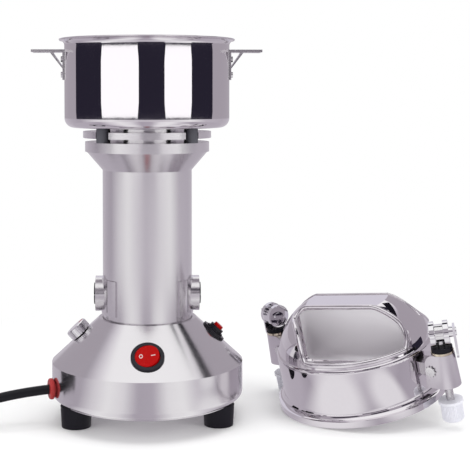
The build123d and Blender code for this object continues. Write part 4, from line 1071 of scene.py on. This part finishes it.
@dataclass
class Studio:
    """White studio: floor, world, lamps, reflection cards and the camera."""

    eye: tuple[float, float, float] = (0.0, -1.08, 0.316)
    pitch_down: float = 2.447
    yaw_right: float = 2.278
    lens: float = 84.95
    shift_x: float = 0.093
    shift_y: float = -0.198
    card_r: float = 1.6
    roof: float = 1.9
    band: tuple[float, float] = (0.255, 0.440)
    dark: Colour = (0.024, 0.021, 0.036)
    lilac: Colour = (0.46, 0.425, 0.47)
    floor_glow: float = 0.05

    def build(self) -> None:
        """Set up the whole studio."""
        bpy.context.scene.view_settings.view_transform = "Standard"
        self._world()
        self._floor()
        self._lamps()
        self._cards()
        self._camera()

    @staticmethod
    def _seen(tree: bpy.types.NodeTree) -> bpy.types.NodeSocket:
        """Give 1 for camera, glossy and transmission rays and 0 for the rest.

        Args:
            tree: A shader tree.

        Returns:
            The value socket.
        """
        path = tree.nodes.new("ShaderNodeLightPath").outputs
        shiny = calc(tree, "MAXIMUM", path["Is Glossy Ray"], path["Is Transmission Ray"])
        return calc(tree, "MAXIMUM", path["Is Camera Ray"], shiny)

    def _world(self) -> None:
        """Make a white background that lights the scene softly."""
        world = bpy.data.worlds.new("white_studio")
        bpy.context.scene.world = world
        world.use_nodes = True
        tree = world.node_tree
        base = tree.nodes["Background"]
        base.inputs["Color"].default_value = (1, 1, 1, 1)
        base.inputs["Strength"].default_value = 0.7
        white = tree.nodes.new("ShaderNodeBackground")
        white.inputs["Color"].default_value = (1, 1, 1, 1)
        white.inputs["Strength"].default_value = 1.0
        mix = tree.nodes.new("ShaderNodeMixShader")
        tree.links.new(self._seen(tree), mix.inputs["Fac"])
        tree.links.new(base.outputs[0], mix.inputs[1])
        tree.links.new(white.outputs[0], mix.inputs[2])
        tree.links.new(mix.outputs[0], tree.nodes["World Output"].inputs["Surface"])

    def _floor(self) -> None:
        """Make a white floor that keeps the object's soft shadow and runs into the background."""
        build = bmesh.new()
        bmesh.ops.create_grid(build, x_segments=1, y_segments=1, size=6.0)
        mesh = bpy.data.meshes.new("floor")
        build.to_mesh(mesh)
        build.free()
        mesh.transform(Matrix.Translation((0, 0, -0.0003)))
        paint = bpy.data.materials.new("floor_paper")
        paint.use_nodes = True
        tree = paint.node_tree
        tree.nodes.remove(tree.nodes["Principled BSDF"])
        matt = tree.nodes.new("ShaderNodeBsdfDiffuse")
        matt.inputs["Color"].default_value = (0.96, 0.96, 0.96, 1)
        glow = tree.nodes.new("ShaderNodeEmission")
        glow.inputs["Color"].default_value = (1, 1, 1, 1)
        glow.inputs["Strength"].default_value = 1.0
        spot = split_place(tree)
        squares = [calc(tree, "POWER", spot[axis], 2.0) for axis in "XY"]
        reach = calc(tree, "SQRT", calc(tree, "ADD", *squares))
        fade = tree.nodes.new("ShaderNodeMapRange")
        fade.interpolation_type = "SMOOTHSTEP"
        fade.inputs["From Min"].default_value = 0.13
        fade.inputs["From Max"].default_value = 0.5
        fade.inputs["To Min"].default_value = self.floor_glow
        fade.inputs["To Max"].default_value = 1.0
        tree.links.new(reach, fade.inputs["Value"])
        mix = tree.nodes.new("ShaderNodeMixShader")
        tree.links.new(calc(tree, "MULTIPLY", self._seen(tree), fade.outputs["Result"]), mix.inputs["Fac"])
        tree.links.new(matt.outputs[0], mix.inputs[1])
        tree.links.new(glow.outputs[0], mix.inputs[2])
        tree.links.new(mix.outputs[0], tree.nodes["Material Output"].inputs["Surface"])
        mesh.materials.append(paint)
        floor = bpy.data.objects.new("floor", mesh)
        bpy.context.scene.collection.objects.link(floor)

    @staticmethod
    def _lamps() -> None:
        """Hang a broad lamp above and two softer ones at the sides."""
        lamps = (
            ("top_lamp", (0.1, -0.1, 1.9), (0.1, 0.0, 0.0), 1.6, 20.0),
            ("left_lamp", (-1.5, -1.2, 1.0), (0.0, 0.0, 0.2), 0.9, 8.0),
            ("right_lamp", (1.6, -1.2, 0.9), (0.1, 0.0, 0.15), 0.9, 8.0),
        )
        for name, spot, aim, size, power in lamps:
            data = bpy.data.lights.new(name, "AREA")
            data.shape = "SQUARE"
            data.size = size
            data.energy = power
            lamp = bpy.data.objects.new(name, data)
            lamp.location = spot
            lamp.rotation_euler = (Vector(aim) - Vector(spot)).to_track_quat("-Z", "Y").to_euler()
            lamp.visible_camera = False
            lamp.visible_glossy = False
            bpy.context.scene.collection.objects.link(lamp)

    @staticmethod
    def _bent(span: tuple[float, float], rise: tuple[float, float], r: float, corner: float = 0.0) -> bpy.types.Mesh:
        """Make a curved upright card round the object.

        Args:
            span: Where it starts and ends, in degrees to the right of the front.
            rise: Its lowest and highest edge, in metres.
            r: Its distance from the motor's axis, in metres.
            corner: Radius of its corners, in metres.

        Returns:
            The mesh.
        """
        build = bmesh.new()
        steps = max(6, int(abs(span[1] - span[0]) / 1.5))
        rows = []
        for k in range(steps + 1):
            a = span[0] + (span[1] - span[0]) * k / steps
            edge = min(abs(a - span[0]), abs(span[1] - a)) * math.pi / 180 * r
            inset = 0.0
            if edge < corner:
                inset = corner - math.sqrt(max(0.0, corner * corner - (corner - edge) ** 2))
            x, y = r * math.sin(math.radians(a)), -r * math.cos(math.radians(a))
            rows.append([build.verts.new((x, y, rise[0] + inset)), build.verts.new((x, y, rise[1] - inset))])
        for here, there in zip(rows, rows[1:]):
            build.faces.new((here[0], there[0], there[1], here[1]))
        mesh = bpy.data.meshes.new("bent_card")
        build.to_mesh(mesh)
        build.free()
        return mesh

    @staticmethod
    def _flat(inner: float, outer: float, height: float) -> bpy.types.Mesh:
        """Make a flat ring of card round the motor's axis.

        Args:
            inner: Radius of its hole, in metres.
            outer: Its radius, in metres.
            height: Its height, in metres.

        Returns:
            The mesh.
        """
        build = bmesh.new()
        steps = 90
        rows = []
        for k in range(steps):
            a = 2 * math.pi * k / steps
            rows.append([build.verts.new((r * math.cos(a), r * math.sin(a), height)) for r in (inner, outer)])
        for k in range(steps):
            here, there = rows[k], rows[(k + 1) % steps]
            build.faces.new((here[0], here[1], there[1], there[0]))
        mesh = bpy.data.meshes.new("flat_card")
        build.to_mesh(mesh)
        build.free()
        return mesh

    @staticmethod
    def _show(name: str, mesh: bpy.types.Mesh, colour: Colour | Tones, strength: float = 1.0, across: float = 0.0,
              pools: tuple[tuple[float, float, float, float], ...] = ()) -> None:
        """Give a card its light and keep it out of all but reflections.

        Args:
            name: The card's name.
            mesh: Its mesh.
            colour: Its colour, or the tones that run round the axis or across it.
            strength: Its brightness.
            across: Half the width that the tones run across from left to right, or 0 where they run round.
            pools: X, Y and radius of each soft pool of another level on it, and that level.
        """
        paint = bpy.data.materials.new(name)
        paint.use_nodes = True
        tree = paint.node_tree
        tree.nodes.remove(tree.nodes["Principled BSDF"])
        glow = tree.nodes.new("ShaderNodeEmission")
        glow.inputs["Strength"].default_value = strength
        if isinstance(colour, Tones):
            spot = split_place(tree)
            if across > 0:
                where = calc(tree, "MULTIPLY_ADD", spot["X"], 0.5 / across, 0.5)
            else:
                facing = calc(tree, "ARCTAN2", spot["X"], calc(tree, "MULTIPLY", spot["Y"], -1.0))
                where = calc(tree, "MULTIPLY_ADD", facing, 0.5 / math.pi, 0.5)
            ramp = tree.nodes.new("ShaderNodeValToRGB")
            colour.fill(ramp.color_ramp)
            tree.links.new(where, ramp.inputs["Fac"])
            shown = ramp.outputs["Color"]
            for pool in pools:
                off = [calc(tree, "POWER", calc(tree, "SUBTRACT", spot[axis], at), 2.0) for axis, at in zip("XY", pool)]
                near = tree.nodes.new("ShaderNodeMapRange")
                near.interpolation_type = "SMOOTHSTEP"
                near.inputs["From Min"].default_value = 0.4 * pool[2]
                near.inputs["From Max"].default_value = pool[2]
                near.inputs["To Min"].default_value = 1.0
                near.inputs["To Max"].default_value = 0.0
                tree.links.new(calc(tree, "SQRT", calc(tree, "ADD", *off)), near.inputs["Value"])
                blend = tree.nodes.new("ShaderNodeMix")
                blend.data_type = "RGBA"
                tree.links.new(near.outputs["Result"], blend.inputs[0])
                tree.links.new(shown, blend.inputs[6])
                blend.inputs[7].default_value = (*Tones.colour(pool[3]), 1)
                shown = blend.outputs[2]
            tree.links.new(shown, glow.inputs["Color"])
        else:
            glow.inputs["Color"].default_value = (*colour, 1)
        tree.links.new(glow.outputs[0], tree.nodes["Material Output"].inputs["Surface"])
        mesh.materials.append(paint)
        card = bpy.data.objects.new(name, mesh)
        bpy.context.scene.collection.objects.link(card)
        card.visible_camera = False
        card.visible_diffuse = False
        card.visible_shadow = False
        card.visible_transmission = False

    def _cards(self) -> None:
        """Put up the toned floor, wall and roof cards, the dark screens and the white panels."""
        r = self.card_r
        low, high = self.band
        self._show("floor_card", self._flat(0.0, 0.7, -0.0001), FLOOR_TONES,
                   pools=((0.15, -0.085, 0.075, 0.94), (0.27, -0.135, 0.075, 0.92)))
        self._show("outer_floor_card", self._flat(0.7, r + 0.2, -0.0001), WALL_TONES)
        self._show("wall_card", self._bent((-180, 180), (0.0, low - 0.002), r + 0.2), WALL_TONES)
        self._show("lilac_surround", self._bent((-180, 180), (low - 0.002, self.roof), r + 0.2), self.lilac)
        self._show("roof_card", self._flat(0.0, r + 0.25, self.roof), ROOF_TONES, 1.1, r + 0.25)
        self._show("dark_front", self._bent((-113, 100), (low, high), r + 0.05, 0.02), self.dark)
        for name, start, end in (("left", -64, -11), ("right", 23, 62)):
            panel = self._bent((start, end), (low + 0.008, high - 0.012), r, 0.035)
            self._show("white_panel_" + name, panel, (1, 1, 1), 1.35)
        for name, start, end in (("left", -62, -22), ("middle", -4, 22), ("right", 40, 70)):
            self._show("high_dark_" + name, self._bent((start, end), (0.75, 1.30), r, 0.035), self.dark)
        self._show("pale_back", self._bent((153, 208), (0.52, 1.72), r, 0.2), (0.78, 0.76, 0.84))
        self._show("roof_dark", self._patch((-0.2, 1.1), (0.12, 0.75), self.roof - 0.02), self.dark)
        self._show("black_strip", self._strip(), (0.01, 0.009, 0.014))

    @staticmethod
    def _patch(x: tuple[float, float], y: tuple[float, float], height: float) -> bpy.types.Mesh:
        """Make a level oblong card.

        Args:
            x: Its left and right edge, in metres.
            y: Its front and back edge, in metres.
            height: Its height, in metres.

        Returns:
            The mesh.
        """
        mesh = bpy.data.meshes.new("level_card")
        corners = [(x[0], y[0]), (x[1], y[0]), (x[1], y[1]), (x[0], y[1])]
        mesh.from_pydata([(*c, height) for c in corners], [], [(0, 1, 2, 3)])
        return mesh

    @staticmethod
    def _strip() -> bpy.types.Mesh:
        """Make the narrow black strip that the base's cone mirrors to the right of the switch.

        Returns:
            The mesh.
        """
        spot = Vector((0.046, -0.058, 0.08))
        aim = Vector((0.58, 0.285, 0.755)).normalized()
        side = Vector((0.75, 0.35, -0.56))
        side = (side - aim * side.dot(aim)).normalized()
        long = aim.cross(side)
        middle = spot + aim * 1.2
        build = bmesh.new()
        ends = [middle + side * a + long * b for a, b in ((-0.075, -0.3), (0.075, -0.3), (0.075, 0.3), (-0.075, 0.3))]
        build.faces.new([build.verts.new(end) for end in ends])
        mesh = bpy.data.meshes.new("strip_card")
        build.to_mesh(mesh)
        build.free()
        return mesh

    def _camera(self) -> None:
        """Set the camera at the photograph's viewing angle."""
        data = bpy.data.cameras.new("camera")
        data.sensor_width = 36.0
        data.lens = self.lens
        data.shift_x = self.shift_x
        data.shift_y = self.shift_y
        data.clip_start = 0.05
        data.clip_end = 50.0
        camera = bpy.data.objects.new("camera", data)
        camera.location = self.eye
        camera.rotation_euler = (math.radians(90 - self.pitch_down), 0, math.radians(-self.yaw_right))
        bpy.context.scene.collection.objects.link(camera)
        bpy.context.scene.camera = camera


def corners(box: tuple[Vector, Vector]) -> list[list[float]]:
    """Give a box's corners as plain lists."""
    return [[round(c, 5) for c in corner] for corner in box]


def main() -> None:
    """Load the frame, build and dress each sub-assembly, and set up the studio."""
    logging.basicConfig(level=logging.INFO, format="%(name)s: %(message)s")
    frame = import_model()
    Studio().build()
    lid = Lid(frame)
    built = [Base(frame), Bowl(frame), lid, *(Clamp(frame, lid, side) for side in Side), MainsCord(frame)]
    for group in built:
        group.build()
        group.dress()
        LOG.info("built %s", type(group).__name__)
    Column(frame).dress()


if __name__ == "__main__":
    main()
